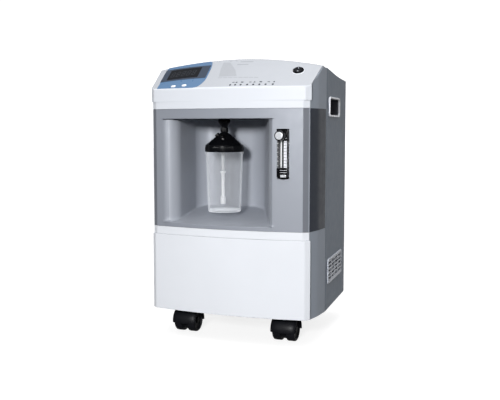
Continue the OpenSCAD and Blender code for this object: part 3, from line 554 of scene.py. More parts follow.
# the printed fascia film is the light grey field above the front edge
for p in top.data.polygons:
    c = p.center * 1000
    x, y, z = c.x, c.y - YS, c.z
    if z > 533.0 and p.normal.z > 0.6 and y > bow(min(abs(x), 180.0), RP) + 3.2:
        p.material_index = 1
for c in cutters: drop(c)

# all top cover faces except the fascia film take the darker white: painted shade
for p in top.data.polygons:
    if p.material_index == 0: p.material_index = 2

# ---- middle front panel with the niche
CEIL, FL0, RISE = 471.0, 249.0, 0.18
def floor_z(y): return FL0 + RISE * (y + 170.0)
def mid_rows():
    xl, xr = -147.0, 101.5
    yl = bow(xl, RM); yr_ = bow(xr, RM)
    T = []
    T += arc_pts(-147.0, yl + 29.0, 29.0, -90, 0, 16)
    T += [(-118.2, -110.0), (-118.8, -86.0)]
    T += arc_pts(-84.0, -61.0, 35.0, 180, 90, 14)
    T += [(-60.0, -26.0), (-35.0, -26.0)]
    # back to right wall
    p = rounded_prof([(-35.0, -26.0), (35.7, -26.0), (92.0, -154.8)], [0, 52.0, 0], 14)
    T += p[1:-1]
    T += [(74.0, -113.6), (84.0, -136.5)]
    q = rounded_prof([(84.0, -136.5), (92.4, -155.6), (101.5, yr_)], [0, 2.0, 0], 4)
    T += q[1:-1]
    T += [(94.5, -158.3), (97.5, -162.2)]
    T += [(100.2, yr_ + 1.9), (101.0, yr_ + 0.7), (101.5 + 0.9, bow(102.4, RM))]
    xr = 102.4
    # clean order
    left = [pt for pt in PATH_M if pt[0] < xl - 0.8]
    right = [pt for pt in PATH_M if pt[0] > xr + 0.8]
    # cumulative length along the niche trace gives the matching point on the bow
    L = [0.0]
    for a, b in zip(T, T[1:]):
        L.append(L[-1] + math.hypot(b[0] - a[0], b[1] - a[1]))
    # map by a blend of x and arc length so that the strips stay regular
    A = []
    for i, (pt, l) in enumerate(zip(T, L)):
        s = l / L[-1]
        xx = xl + (xr - xl) * s
        A.append((xx, bow(xx, RM)))
    nA_all = normals2d(left + A + right)
    T_all = left + T + right
    A_all = left + A + right
    nT = normals2d(T_all)
    nin = [0] * len(left) + [1] * len(T) + [0] * len(right)
    # first and last niche points lie on the bow itself
    rows = []
    def rowA(off, z, zf=None):
        out = []
        for (x, y), (a, b), k in zip(A_all, nA_all, nin):
            o = off if (k or zf is None) else 0.0
            zz = z(x, y) if callable(z) else z
            out.append((x + a * o, y + b * o, zz))
        return out
    def rowT(ins, z):
        out = []
        for (x, y), (a, b), k in zip(T_all, nT, nin):
            o = ins if k else 0.0
            X, Y = x + a * o, y + b * o
            zz = z(X, Y) if callable(z) else z
            out.append((X, Y, zz))
        return out
    fz = lambda x, y: floor_z(y)
    rows.append(rowA(0, 240.2)); rows.append(rowA(0, 242.0))
    rows.append(rowA(0, lambda x, y: floor_z(y) - 1.6))
    rows.append(rowA(-0.10, lambda x, y: floor_z(y) - 0.75, 1))
    rows.append(rowA(-0.45, lambda x, y: floor_z(y) - 0.22, 1))
    rows.append(rowA(-1.2, lambda x, y: floor_z(y) + 0.02, 1))
    rows.append(rowT(5.0, lambda x, y: floor_z(y) + 0.10))
    rows.append(rowT(2.6, lambda x, y: floor_z(y) + 0.62))
    rows.append(rowT(0.9, lambda x, y: floor_z(y) + 1.9))
    rows.append(rowT(0.0, lambda x, y: floor_z(y) + 4.6))
    rows.append(rowT(0.0, lambda x, y: floor_z(y) + 12.0))
    for z in (310.0, 360.0, 410.0, 450.0):
        rows.append(rowT(0.0, z))
    rows.append(rowT(0.0, CEIL - 3.0))
    rows.append(rowT(0.25, CEIL - 1.3))
    rows.append(rowT(0.9, CEIL - 0.45))
    rows.append(rowT(2.2, CEIL - 0.1))
    rows.append(rowA(-1.0, CEIL + 0.0, 1))
    rows.append(rowA(-0.3, CEIL + 0.3, 1))
    rows.append(rowA(0.0, CEIL + 1.0, 1))
    rows.append(rowA(0, 480.0)); rows.append(rowA(0, 490.0)); rows.append(rowA(0, 491.6))
    return rows
fx, fw = 125.5, 23.4
v, f = box_mesh(fx - fw / 2 - 0.4, fx + fw / 2 + 0.4, -190, -146.0, 348.6, 450.4)
c1 = cutter_obj("cut_flow", v, f)
v, f = prism_pts(arc_pts(0, 0, 8.4, 0, 352.5, 47), 0, 12)
c2 = cutter_obj("cut_fit", [(x - 26, y - 110, z + 466) for x, y, z in v], f)
mid = shell("mid_front_shell", mid_rows(), [M["panel_grey"], M["niche_grey_painted_light"], M["niche_roof_painted_shade"], M["panel_chamfer_painted_shade"]], 2.6, node="mid_front_panel", bevel=0.5, cuts=[c1, c2], sharp=50)
for p in mid.data.polygons:
    c = p.center * 1000
    # niche faces take the lighter grey: painted light inside the niche
    if c.y - YS > bow(min(abs(c.x), 170.0), RM) + 3.4 and abs(c.x) < 150 and 250 < c.z < 472: p.material_index = 1
    # the niche ceiling faces take near black: painted shade under the ceiling
    if p.normal.z < -0.45 and c.z > CEIL - 3.2 and c.z < CEIL + 1.2 and abs(c.x) < 150: p.material_index = 2
    # the side chamfer faces near the front take the darker grey: painted shade
    if abs(p.normal.x) > 0.45 and abs(c.x) > 160 and c.y < -140: p.material_index = 3
drop(c1); drop(c2)

# ---- corner panels with their inlays, side panels, back, rear top
def mirror_rows(rows):
    return [[(-x, y, z) for x, y, z in reversed(r)] for r in rows]

def spline(pts, n):
    """Catmull-Rom through plan points."""
    out = []
    P = [pts[0]] + list(pts) + [pts[-1]]
    for i in range(1, len(P) - 2):
        p0, p1, p2, p3 = P[i - 1], P[i], P[i + 1], P[i + 2]
        for k in range(n):
            t = k / n
            out.append(tuple(0.5 * ((2 * p1[c]) + (-p0[c] + p2[c]) * t + (2 * p0[c] - 5 * p1[c] + 4 * p2[c] - p3[c]) * t * t + (-p0[c] + 3 * p1[c] - 3 * p2[c] + p3[c]) * t ** 3) for c in range(2)))
    out.append(pts[-1])
    return out
corner = spline([(176.9, -148.4), (181.0, -129.0), (184.4, -110.0), (186.35, -86.0), (187.75, -66.5)], 6)
corner += [(187.92, -65.2), (187.8, -64.2), (187.3, -63.5), (186.5, -63.2)]
def z_corner(x, y):
    return min(fascia_h(x, y) - 3.5, 597.0 - arch_drop(x), crown_h(x, y) - 0.2)
def z_side(x, y): return crown_h(x, y)
def ramp(zt, k): return lambda x, y: 58.0 + (zt(x, y) - 58.0) * k
for sgn, nm in ((1, "right"), (-1, "left")):
    rows = wall_rows(corner, [58.0, 60.0, 140.0, 240.0, 340.0, 440.0, 500.0, lambda x, y: z_corner(x, y) - 2.0, z_corner])
    if sgn < 0: rows = mirror_rows(rows)
    shell(nm + "_corner_shell", rows, M["corner_grey"], 3.0, node=nm + "_corner_panel", bevel=0.6)
    inl = [p for p in spline([(177.35, -147.9), (181.25, -129.0), (184.65, -110.0), (186.6, -86.0), (187.75, -68.0)], 6)]
    nr = normals2d(inl)
    inl = [(x + a * 0.15, y + b * 0.15) for (x, y), (a, b) in zip(inl, nr)]
    rows = wall_rows(inl, [240.3, 242.0, 320.0, 400.0, 490.0, 491.6])
    if sgn < 0: rows = mirror_rows(rows)
    shell(nm + "_inlay", rows, M["charcoal_trim"], 1.2, node=nm + "_trim_inlay", bevel=0.35)

def side_x(y): return 188.0 - 15.6 * (y + 63.0) / 236.0
SA = math.atan(15.6 / 236.0)
def side_frame(s, y, z):
    """4x4 in metres: local X outward, local Y to the back, Z up, on a side panel."""
    ca, sa = math.cos(SA), math.sin(SA)
    ex = Vector((ca, sa, 0)); ey = Vector((-sa, ca, 0))
    if s < 0:
        ex = Vector((-ex.x, ex.y, 0)); ey = Vector((-ey.x, ey.y, 0))
    m = Matrix(((ex.x, ey.x, 0, 0), (ex.y, ey.y, 0, 0), (0, 0, 1, 0), (0, 0, 0, 1)))
    m.translation = Vector((s * side_x(y), y + YS, z)) * 0.001
    return m
def rrect(w, h, r, n=6):
    a, b = w / 2 - r, h / 2 - r
    return arc_pts(a, b, r, 0, 90, n) + arc_pts(-a, b, r, 90, 180, n) + arc_pts(-a, -b, r, 180, 270, n) + arc_pts(a, -b, r, 270, 360, n)
GY, GZ, GW, GH = 16.0, 497.2, 116.0, 43.0
VY, VZ, VW, VH = 36.0, 140.6, 158.0, 55.0
side = [(186.6, -62.9), (187.5, -62.5), (187.85, -61.6), (187.8, -60.0)] + [(side_x(y), y) for y in (-40, -15, 10, 40, 70, 100, 130, 148.5, 149.9)]
for sgn, nm in ((1, "right"), (-1, "left")):
    rows = wall_rows(side, [58.0, 60.0] + [ramp(z_side, k) for k in (0.15, 0.3, 0.5, 0.7, 0.85, 0.96)] + [lambda x, y: z_side(x, y) - 2.0, z_side])
    if sgn < 0: rows = mirror_rows(rows)
    cs = []
    for (yy, zz, w, h, r) in ((GY, GZ, GW - 16, GH - 5, 7), (VY, VZ, VW - 12, VH - 12, 3)):
        v, f = prism_pts(rrect(w, h, r), -10, 10)
        v = [(z, x, y) for x, y, z in v]
        cs.append(cutter_obj("cut_side", place(v, side_frame(sgn, yy, zz)), f))
    shell(nm + "_side_shell", rows, M["grey_shell"], 3.0, node=nm + "_side_panel", bevel=0.8, cuts=cs)
    for c in cs: drop(c)

# back: one panel with both rear corners
bk = [(side_x(150.5), 150.5), (side_x(152.0), 152.0)] + arc_pts(158.2, 158.0, 15.0, -3.8, 90, 9) + [(x, 173.0) for x in (140, 100, 60, 20)]
bk = bk + [(-x, y) for x, y in reversed(bk)]
rows = wall_rows(bk, [58.0, 60.0, 150.0, 300.0, 450.0, lambda x, y: z_side(x, y) - 2.0, z_side])
cs = []
def back_cut(x0, x1, z0, z1, r=1.2):
    o = rrect(x1 - x0, z1 - z0, r, 4)
    v, f = prism_pts(o, -12, 12)
    cs.append(cutter_obj("cut_back", [((x0 + x1) / 2 + a, 173 + c, (z0 + z1) / 2 + b) for a, b, c in v], f))
FZ, FWd, FHt = 390.0, 150.0, 110.0
back_cut(-(FWd - 4) / 2, (FWd - 4) / 2, FZ - (FHt - 4) / 2, FZ + (FHt - 4) / 2, 3)
for j in range(8):
    back_cut(-115, 55, 97.5 + j * 11, 102.5 + j * 11, 2.4)
back_cut(105 - 14.2, 105 + 14.2, 112 - 10.4, 112 + 10.4, 1.5)
back_cut(105 - 6.3, 105 + 6.3, 146 - 6.3, 146 + 6.3, 6.25)
back = shell("rear_shell", rows, M["grey_shell"], 3.0, node="rear_panel", bevel=0.8, cuts=cs)
for c in cs: drop(c)

def half_w(y):
    t = 3.4
    if y < 158.0: return side_x(y) - t
    r = 15.0 - t
    d = y - 158.0
    return 158.2 + math.sqrt(max(r * r - d * d, 0.0))
ys = [-79.6, -77.0, -70.0, -60.0, -45.0, -30.0, -10.0, 10.0, 30.0, 55.0, 80.0, 105.0, 130.0, 150.0, 158.0, 162.0, 165.5, 168.0, 169.4]
rows = []
for y in ys:
    w = min(half_w(y), half_w(max(y, -63.0)) if y > -63 else 188.0 - 3.4 + (y + 63) * 0.077)
    rows.append([(w * k / 24.0, y, smin(crown_h(w * k / 24.0, y), 600.6 - arch_drop(w * k / 24.0), 2.0)) for k in range(-24, 25)])
shell("rear_top_shell", rows, M["grey_shell"], 3.0, node="rear_top_cover", bevel=0.8)

# ------------------------------------------------------------------ side fittings
def ring_solid(name, secs, mtx, mat, body="cabinet", node=None, sharp=35.0, cap_last=True, cap_first=True, mats=None):
    """Loft of closed outlines given as (outline, height) in a local frame."""
    rows = [[(x, y, h) for x, y in o] for o, h in secs]
    v, f = grid(rows, True)
    n = len(secs[0][0])
    if cap_first: f.append(tuple(reversed(range(n))))
    if cap_last: f.append(tuple(range((len(secs) - 1) * n, len(secs) * n)))
    ob = obj_from(name, place(v, mtx), f, mat, body, sharp)
    if node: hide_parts(*([node] if isinstance(node, str) else node))
    return ob

YZ = Matrix(((0, 0, 1, 0), (1, 0, 0, 0), (0, 1, 0, 0), (0, 0, 0, 1)))   # local (x,y,h) -> (h, x, y)
def hand_grip(sgn, nm):
    mtx = side_frame(sgn, GY, GZ) @ YZ
    secs = []
    def o(w, h, r, bulge=0.0):
        pts = rrect(w, h, r, 8)
        out = []
        for x, y in pts:
            k = 1.0
            # long sides bulge a little, as the moulded rim does
            x2 = x + math.copysign(bulge * (1 - (2 * y / h) ** 2), x) if abs(x) > w / 2 - r - 1 else x
            out.append((x2, y))
        return out
    # rim outer skirt, rounded crown, then down into the cup
    secs.append((o(GW, GH, 9), 0.05))
    secs.append((o(GW, GH, 9, 1.0), 1.2))
    secs.append((o(GW - 0.8, GH - 0.8, 8.8, 1.0), 2.4))
    secs.append((o(GW - 2.4, GH - 2.2, 8.2, 1.0), 3.1))
    secs.append((o(GW - 5.0, GH - 3.6, 7.6, 1.0), 3.2))
    secs.append((o(GW - 9.0, GH - 5.4, 7.0, 0.8), 2.9))
    secs.append((o(GW - 13.0, GH - 7.2, 6.4, 0.5), 1.9))
    secs.append((o(GW - 16.0, GH - 8.6, 6.0, 0.3), 0.2))
    rim = ring_solid(nm + "_grip_rim", secs, mtx, M["grip_white"], node=None, cap_first=False, cap_last=False)
    cup = []
    cup.append((o(GW - 16.0, GH - 8.6, 6.0, 0.3), 0.2))
    cup.append((o(GW - 17.5, GH - 9.4, 5.6), -2.0))
    cup.append((o(GW - 20.0, GH - 10.0, 5.2), -12.0))
    cup.append((o(GW - 24.0, GH - 11.0, 5.0), -26.0))
    cup.append((o(GW - 27.0, GH - 13.0, 5.0), -31.5))
    cup.append((o(GW - 33.0, GH - 18.0, 4.0), -33.4))
    back_rows = [(o(GW - 20.0, GH - 7.0, 6.0), -36.0), (o(GW - 17.5, GH - 6.6, 6.0), -12.0), (o(GW - 17.2, GH - 6.4, 6.2), 0.0)]
    v1, f1 = grid([[(x, y, h) for x, y in oo] for oo, h in cup], True)
    n = len(cup[0][0])
    f1.append(tuple(range((len(cup) - 1) * n, len(cup) * n)))
    cupo = obj_from(nm + "_grip_cup", place(v1, mtx), f1, M["grip_dark"], "cabinet", 40)
    s = mod_solid(cupo, 1.6, 1.0)
    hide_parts(nm + "_hand_grip")
    return rim
for sgn, nm in ((1, "right"), (-1, "left")):
    hand_grip(sgn, nm)

def vent(sgn, nm):
    mtx = side_frame(sgn, VY, VZ) @ YZ
    secs = [(rrect(VW, VH, 5), -0.6), (rrect(VW, VH, 5), 1.0), (rrect(VW - 0.8, VH - 0.8, 4.8), 1.9), (rrect(VW - 2.6, VH - 2.6, 4.2), 2.5), (rrect(VW - 5, VH - 5, 3.6), 2.6),
            (rrect(VW - 8, VH - 8, 3.0), 2.2), (rrect(VW - 10, VH - 10, 2.6), 1.7)]
    rows = [[(x, y, h) for x, y in o] for o, h in secs]
    v, f = grid(rows, True)
    n = len(secs[0][0])
    f.append(tuple(range((len(secs) - 1) * n, len(secs) * n)))
    # underside
    base = len(v)
    v += [(x, y, -2.4) for x, y in rrect(VW - 13, VH - 13, 3.0)]
    f += [(i, base + i, base + (i + 1) % n, (i + 1) % n) for i in range(n)]
    f.append(tuple(reversed(range(base, base + n))))
    ob = obj_from(nm + "_vent", place(v, mtx), f, [M["grille_grey"], M["switch_black"]], "cabinet", 35)
    cts = []
    for i in range(4):
        for j in range(5):
            o = stadium(30.5, 5.4, 6)
            vv, ff = prism_pts(o, -12, 12)
            vv = [(x + (i - 1.5) * 37, y + (j - 2) * 8.7, z) for x, y, z in vv]
            cts.append((vv, ff))
    V, F = [], []
    for vv, ff in cts:
        b0 = len(V); V += vv; F += [tuple(b0 + k for k in q) for q in ff]
    c = cutter_obj("cut_vent", place(V, mtx), F)
    ob.modifiers.clear()
    cut(ob, c)
    mod_bevel(ob, 0.35, 2, 60)
    apply_mods(ob)
    ob.data.polygons.foreach_set("use_smooth", [True] * len(ob.data.polygons))
    ob.data.set_sharp_from_angle(angle=math.radians(35))
    mod_wn(ob)
    drop(c)
    inv = mtx.inverted()
    # slot walls and edges inside the frame take black: painted shade in the slots
    for p in ob.data.polygons:
        c = p.center * 1000
        q = inv @ Vector((c.x, c.y - YS, c.z))
        if q.z < 1.55 and abs(q.x) < VW / 2 - 5.5 and abs(q.y) < VH / 2 - 5.5: p.material_index = 1
    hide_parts(nm + "_vent_grille")
for sgn, nm in ((1, "right"), (-1, "left")):
    vent(sgn, nm)

# ------------------------------------------------------------------ display, buttons, switch
def film_grid(outline, h0, h1, mat, name, node=None, body="cabinet", step=7.0, bevel=0.0):
    """A thin film that follows the fascia: the outline is in plan (x, y) in mm, the heights are above the surface."""
    bm = bmesh.new()
    vs = [bm.verts.new((x, y, 0)) for x, y in outline]
    bm.faces.new(vs)
    # cut the face into strips so that it can follow the bow
    xs = [p[0] for p in outline]
    x = min(xs) + step
    while x < max(xs) - 0.5:
        bmesh.ops.bisect_plane(bm, geom=bm.verts[:] + bm.edges[:] + bm.faces[:], plane_co=(x, 0, 0), plane_no=(1, 0, 0))
        x += step
    bm.verts.ensure_lookup_table()
    nz = math.cos(FA)
    top_v = {}
    for v in bm.verts:
        top_v[v.index] = (v.co.x, v.co.y)
    bm.verts.index_update()
    flat = [(v.co.x, v.co.y) for v in bm.verts]
    faces = [[v.index for v in f.verts] for f in bm.faces]
    edges = [e for e in bm.edges if len(e.link_faces) == 1]
    rim = [(e.verts[0].index, e.verts[1].index, e.link_faces[0]) for e in edges]
    n = len(flat)
    def at(x, y, h):
        return (x - 0, y - h * math.sin(FA), fascia_h(x, y) + h * math.cos(FA))
    V = [at(x, y, h1) for x, y in flat] + [at(x, y, h0) for x, y in flat]
    F = []
    for f in faces:
        F.append(tuple(f)); F.append(tuple(n + i for i in reversed(f)))
    for a, b, f in rim:
        idx = [v.index for v in f.verts]
        k = idx.index(a)
        if idx[(k + 1) % len(idx)] == b:
            F.append((b, a, n + a, n + b))
        else:
            F.append((a, b, n + b, n + a))
    bm.free()
    ob = obj_from(name, V, F, mat, body, 40)
    if node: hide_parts(node)
    return ob

def smooth_closed(pts, radii, seg=5):
    n = len(pts); out = []
    ext = [pts[-1]] + list(pts) + [pts[0]]
    for i in range(1, n + 1):
        r = radii[i - 1]
        if r <= 0:
            out.append(ext[i]); continue
        q = rounded_prof([ext[i - 1], ext[i], ext[i + 1]], [0, r, 0], seg)
        out += q[1:-1]
    return out
label_pts = []
for x in (-163.0, -150.0, -135.0, -120.0, -105.0, -90.0, -75.0):
    label_pts.append((x, bow(x, RP) + 2.0))
lab = label_pts + [(-64.0, -165.5), (-57.5, -156.0), (-54.8, -146.0), (-54.2, -138.0), (-57.5, -105.0), (-61.0, -91.5), (-63.5, -86.5), (-69.0, -84.0), (-168.6, -88.5)]
lab = smooth_closed(lab, [2.0, 0, 0, 0, 0, 0, 14, 8, 8, 8, 10, 0, 10, 5, 6, 2.5], 4)
film_grid(lab, 0.0, 0.45, M["label_blue"], "label_film", node="display_label")
lcd = smooth_closed([(-165.6, -136.9), (-57.2, -139.0), (-60.9, -97.8), (-169.4, -96.3)], [1.5, 1.5, 1.5, 1.5], 3)
film_grid(lcd, 0.0, 0.75, M["lcd"], "lcd_panel", node="lcd_window")
scr = smooth_closed([(-152.0, -133.0), (-78.0, -134.2), (-80.5, -101.5), (-155.0, -100.4)], [1.5] * 4, 3)
film_grid(scr, 0.4, 0.85, M["lcd_glass"], "lcd_screen")
# unlit segment digits on the screen, seven bars each
segs = []
def bar(cx, cy, w, h, lean=0.12):
    return [(cx - w / 2 + lean * (-h / 2), cy - h / 2), (cx + w / 2 + lean * (-h / 2), cy - h / 2), (cx + w / 2 + lean * (h / 2), cy + h / 2), (cx - w / 2 + lean * (h / 2), cy + h / 2)]
k = 0
for i in range(5):
    cx = -143.0 + i * 12.4; cy = -117.5
    parts = [bar(cx, cy + 7.4, 5.0, 1.1), bar(cx, cy, 5.0, 1.1), bar(cx, cy - 7.4, 5.0, 1.1),
             bar(cx - 3.4, cy + 3.7, 1.1, 5.6), bar(cx + 3.4, cy + 3.7, 1.1, 5.6), bar(cx - 3.4, cy - 3.7, 1.1, 5.6), bar(cx + 3.4, cy - 3.7, 1.1, 5.6)]
    segs += parts
def decals(name, polys, h0, h1, mat):
    V, F = [], []
    for poly in polys:
        n = len(poly); b = len(V)
        for h in (h0, h1):
            V += [(x, y - h * math.sin(FA), fascia_h(x, y) + h * math.cos(FA)) for x, y in poly]
        F.append(tuple(b + n + i for i in range(n)))
        F.append(tuple(b + i for i in reversed(range(n))))
        F += [(b + i, b + (i + 1) % n, b + n + (i + 1) % n, b + n + i) for i in range(n)]
    ob = obj_from(name, V, F, mat, "cabinet", 30)
    return ob
decals("lcd_digits", segs, 0.7, 0.95, M["lcd_seg"])

# buttons
for i, (bx, by) in enumerate(bts):
    m4 = fascia_frame(bx, by)
    secs = [(stadium(14, 9, 8), -5.6), (stadium(14, 9, 8), -3.8), (stadium(11, 6.4, 8), -3.8), (stadium(11, 6.4, 8), 1.1), (stadium(10.7, 6.1, 8), 1.6), (stadium(9.8, 5.2, 8), 1.95), (stadium(7.4, 3.0, 8), 2.1)]
    nm = "left" if i == 0 else "right"
    ring_solid(nm + "_key_cap", secs, m4, M["button_white"], body=nm + "_key", node=nm + "_button")

# mains switch: seat ring, bezel, rocker
m4 = fascia_frame(*sw)
def circ(r, n=48): return arc_pts(0, 0, r, 0, 360 - 360 / n, n - 1)
secs = [(circ(13.6), -0.6), (circ(13.4), 0.25), (circ(12.9), 0.75), (circ(12.4), 0.95), (circ(11.0), 1.0), (circ(10.5), 0.8), (circ(10.4), -2.5)]
ring_solid("switch_seat", secs, m4, M["white_shell"], cap_first=False, cap_last=False)
bz = [(circ(10.2), -17), (circ(10.2), 0.9), (circ(11.5), 1.0), (circ(11.7), 1.5), (circ(11.5), 2.3), (circ(10.7), 2.85), (circ(10.1), 2.95), (circ(9.4), 2.6), (circ(9.05), 1.8), (circ(9.05), -12), (circ(0.2), -12.2)]
ring_solid("switch_bezel_ring", bz, m4, M["switch_black"], node="switch_bezel", cap_last=True)
def rocker():
    rows = []
    rings = [(0.02, 0), (0.25, 0), (0.5, 0), (0.72, 0), (0.88, 0), (0.95, -0.12), (0.985, -0.4), (1.0, -0.9)]
    n = 48; R = 8.4
    tilt = math.radians(7)
    V, F = [], []
    def surf(x, y):   # two flat halves that meet in a shallow valley
        return 3.1 + 0.020 * y * y + 0.10 * abs(y) * 0.25
    for k, dz in rings:
        V.append([(R * k * math.cos(2 * math.pi * i / n), R * k * math.sin(2 * math.pi * i / n), surf(0, R * k * math.sin(2 * math.pi * i / n)) + dz) for i in range(n)])
    V.append([(R * math.cos(2 * math.pi * i / n), R * math.sin(2 * math.pi * i / n), -5.0) for i in range(n)])
    v, f = grid(V, True)
    f.append(tuple(reversed(range(n)))); f.append(tuple(range(len(V) * n - n, len(V) * n)))
    rot = Matrix.Rotation(tilt, 4, "X")
    ob = obj_from("rocker_cap", place(v, m4 @ rot), f, M["switch_black"], "rocker", 35)
    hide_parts("switch_rocker")
    # on and off marks: a bar and a ring
    V, F = [], []
    def add(vv, ff):
        b = len(V); V.extend(vv); F.extend([tuple(b + q for q in t) for t in ff])
    o = [(-0.35, 3.6), (0.35, 3.6), (0.35, 6.6), (-0.35, 6.6)]
    vv, ff = prism_pts(o, 0, 0.12)
    add([(x, y, z + surf(0, y)) for x, y, z in vv], ff)
    ri, ro = 1.1, 1.65
    rr_ = [[(r * math.cos(2 * math.pi * i / 24), -5.0 + r * math.sin(2 * math.pi * i / 24)) for i in range(24)] for r in (ri, ro)]
    vv = [(x, y, surf(0, y) + z) for z in (0.0, 0.12) for ring in rr_ for x, y in ring]
    ff = []
    for i in range(24):
        k = (i + 1) % 24
        ff += [(48 + i, 72 + i, 72 + k, 48 + k), (i, k, 24 + k, 24 + i), (24 + i, 24 + k, 72 + k, 72 + i), (i, 48 + i, 48 + k, k)]
    add(vv, ff)
    mk = obj_from("rocker_marks", place(V, m4 @ rot), F, M["grille_grey"], "rocker", 30)
rocker()

# generic printed marks on the fascia: a pale block, a rule and a row of small symbols with lamps
pr = []
for (x0, x1, y, hgt) in ((4, 34, -92, 2.4), (0, 26, -101, 2.4), (-22, -16, -88, 2.0), (-8, -4, -88, 2.0)):
    pr.append([(x0, y), (x1, y), (x1 - 1.0, y + hgt), (x0 - 1.0 * 0, y + hgt)])
film_grid([(-27.0, -137.0), (13.0, -137.0), (3.0, -118.0), (-12.0, -100.0), (-20.0, -92.0), (-35.0, -91.0), (-33.0, -112.0)], 0.0, 0.12, M["print_soft"], "print_soft", None)
decals("print_block", pr, 0.0, 0.12, M["print_pale"])
decals("print_rule", [[(-27 + i * 11.5, -141.8), (-17.5 + i * 11.5, -141.8), (-17.5 + i * 11.5, -140.6), (-27 + i * 11.5, -140.6)] for i in range(8)], 0.0, 0.12, M["print_pale"])
ic = []
def dotp(cx, cy, r, n=12): return [(cx + r * math.cos(2 * math.pi * i / n), cy + r * math.sin(2 * math.pi * i / n)) for i in range(n)]
for i, x in enumerate((10, 21, 33, 47, 60, 73, 86, 101)):
    y = bow(x, RP) + 8.5
    ic.append(dotp(x, y, 2.3))
    if i % 3 == 0: ic.append([(x + 1.5, y + 7), (x + 6.5, y + 7), (x + 7, y + 8.6), (x + 2.0, y + 8.6)])
    elif i % 3 == 1: ic.append([(x - 2.2, y + 6.2), (x + 2.6, y + 6.2), (x + 0.6, y + 10.0)])
    else: ic.append([(x - 2.5, y + 6.5), (x + 3.2, y + 6.5), (x + 3.2, y + 9.2), (x - 2.5, y + 9.2)])
decals("print_icons", ic, 0.0, 0.14, M["print_grey"])

# ------------------------------------------------------------------ flow meter
FZ0, FZ1, FZB, FZT, FF, FB = 349.0, 450.0, 371.0, 426.6, -172.5, -144.0
def flow_box(z0, z1, mat, name, node=None, round_bottom=False, front=FF, bev=1.0):
    w = fw / 2
    o = [(-w, 0), (w, 0), (w, 1), (-w, 1)]
    if round_bottom:
        pts = [(fx - w, z1)] + [(fx + 20 * math.sin(a), z0 + 20 - 20 * math.cos(a)) for a in [(-35.8 + 71.6 * k / 14) * math.pi / 180 for k in range(15)]] + [(fx + w, z1)]
    else:
        pts = [(fx - w, z1), (fx - w, z0), (fx + w, z0), (fx + w, z1)]
    n = len(pts)
    V = [(x, front, z) for x, z in pts] + [(x, FB, z) for x, z in pts]
    F = [tuple(range(n)), tuple(reversed(range(n, 2 * n)))] + [(i, n + i, n + (i + 1) % n, (i + 1) % n) for i in range(n)]
    ob = obj_from(name, V, F, mat, "cabinet", 30)
    mod_bevel(ob, bev, 3, 40)
    mod_wn(ob)
    if node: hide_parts(node)
    return ob
flow_box(FZT + 0.1, FZ1, M["black_gloss"], "flow_top_block", node="flowmeter_ends")
flow_box(FZ0, FZB - 0.1, M["black_gloss"], "flow_bottom_block", round_bottom=True)
def flow_window():
    w = fw / 2
    pts = rrect(fw, FF * -1 + FB, 1.4, 4)
    cy = (FF + FB) / 2
    outer = [(fx + x, cy + y) for x, y in pts]
    n = len(outer)
    bore = [(fx + 4.1 * math.cos(2 * math.pi * i / 48), -160 + 4.1 * math.sin(2 * math.pi * i / 48)) for i in range(48)]
    v, f = prism_pts(outer, FZB + 0.05, FZT - 0.05)
    ob = obj_from("flow_window", v, f, M["acrylic"], "cabinet", 30)
    vb, fb = prism_pts(bore, FZB - 2, FZT + 2)
    c = cutter_obj("cut_bore", vb, fb)
    cut(ob, c)
    apply_mods(ob)
    ob.data.polygons.foreach_set("use_smooth", [True] * len(ob.data.polygons))
    ob.data.set_sharp_from_angle(angle=math.radians(30))
    drop(c)
    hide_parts("flowmeter_body")
flow_window()
# white scale plates behind the clear body, with ticks and plain numbers' places as bars
v, f = box_mesh(fx + 4.6, fx + 10.9, -146.2, -145.2, FZB + 1.2, FZT - 1.2)
ob = obj_from("flow_scale_plate", v, f, M["scale_white"], "cabinet", 30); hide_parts("flowmeter_scale")
V, F = [], []
def addbox(x0, x1, y0, y1, z0, z1):
    b = len(V); vv, ff = box_mesh(x0, x1, y0, y1, z0, z1); V.extend(vv); F.extend([tuple(b + q for q in t) for t in ff])
for i in range(9):
    z = FZB + 5 + i * 6.0
    addbox(fx + 4.8, fx + (8.8 if i % 2 == 0 else 7.4), -146.5, -146.1, z - 0.35, z + 0.35)
for i in range(5):
    z = FZB + 5 + i * 12.0
    addbox(fx - 9.6, fx - 6.6, -146.5, -145.0, z - 1.4, z + 1.4)
ob = obj_from("flow_ticks", V, F, M["print_grey"], "cabinet", 30)
V, F = [], []
addbox(fx + 4.2, fx + 10.6, FF - 0.22, FF + 0.2, FZB + 1.4, FZT - 1.4)
ob = obj_from("flow_scale_print", V, F, M["grip_white"], "cabinet", 30)
V, F = [], []
for i in range(17):
    z = FZB + 3.8 + i * 3.0
    addbox(fx + (4.4 if i % 2 == 0 else 6.8), fx + 10.4, FF - 0.34, FF - 0.15, z - 0.4, z + 0.4)
ob = obj_from("flow_scale_lines", V, F, M["dark_plastic"], "cabinet", 30)
V, F = [], []
for i in range(6):
    z = FZB + 5 + i * 9.0
    addbox(fx - 9.6, fx - 8.0, FF - 0.3, FF + 0.1, z - 0.5, z + 0.5)
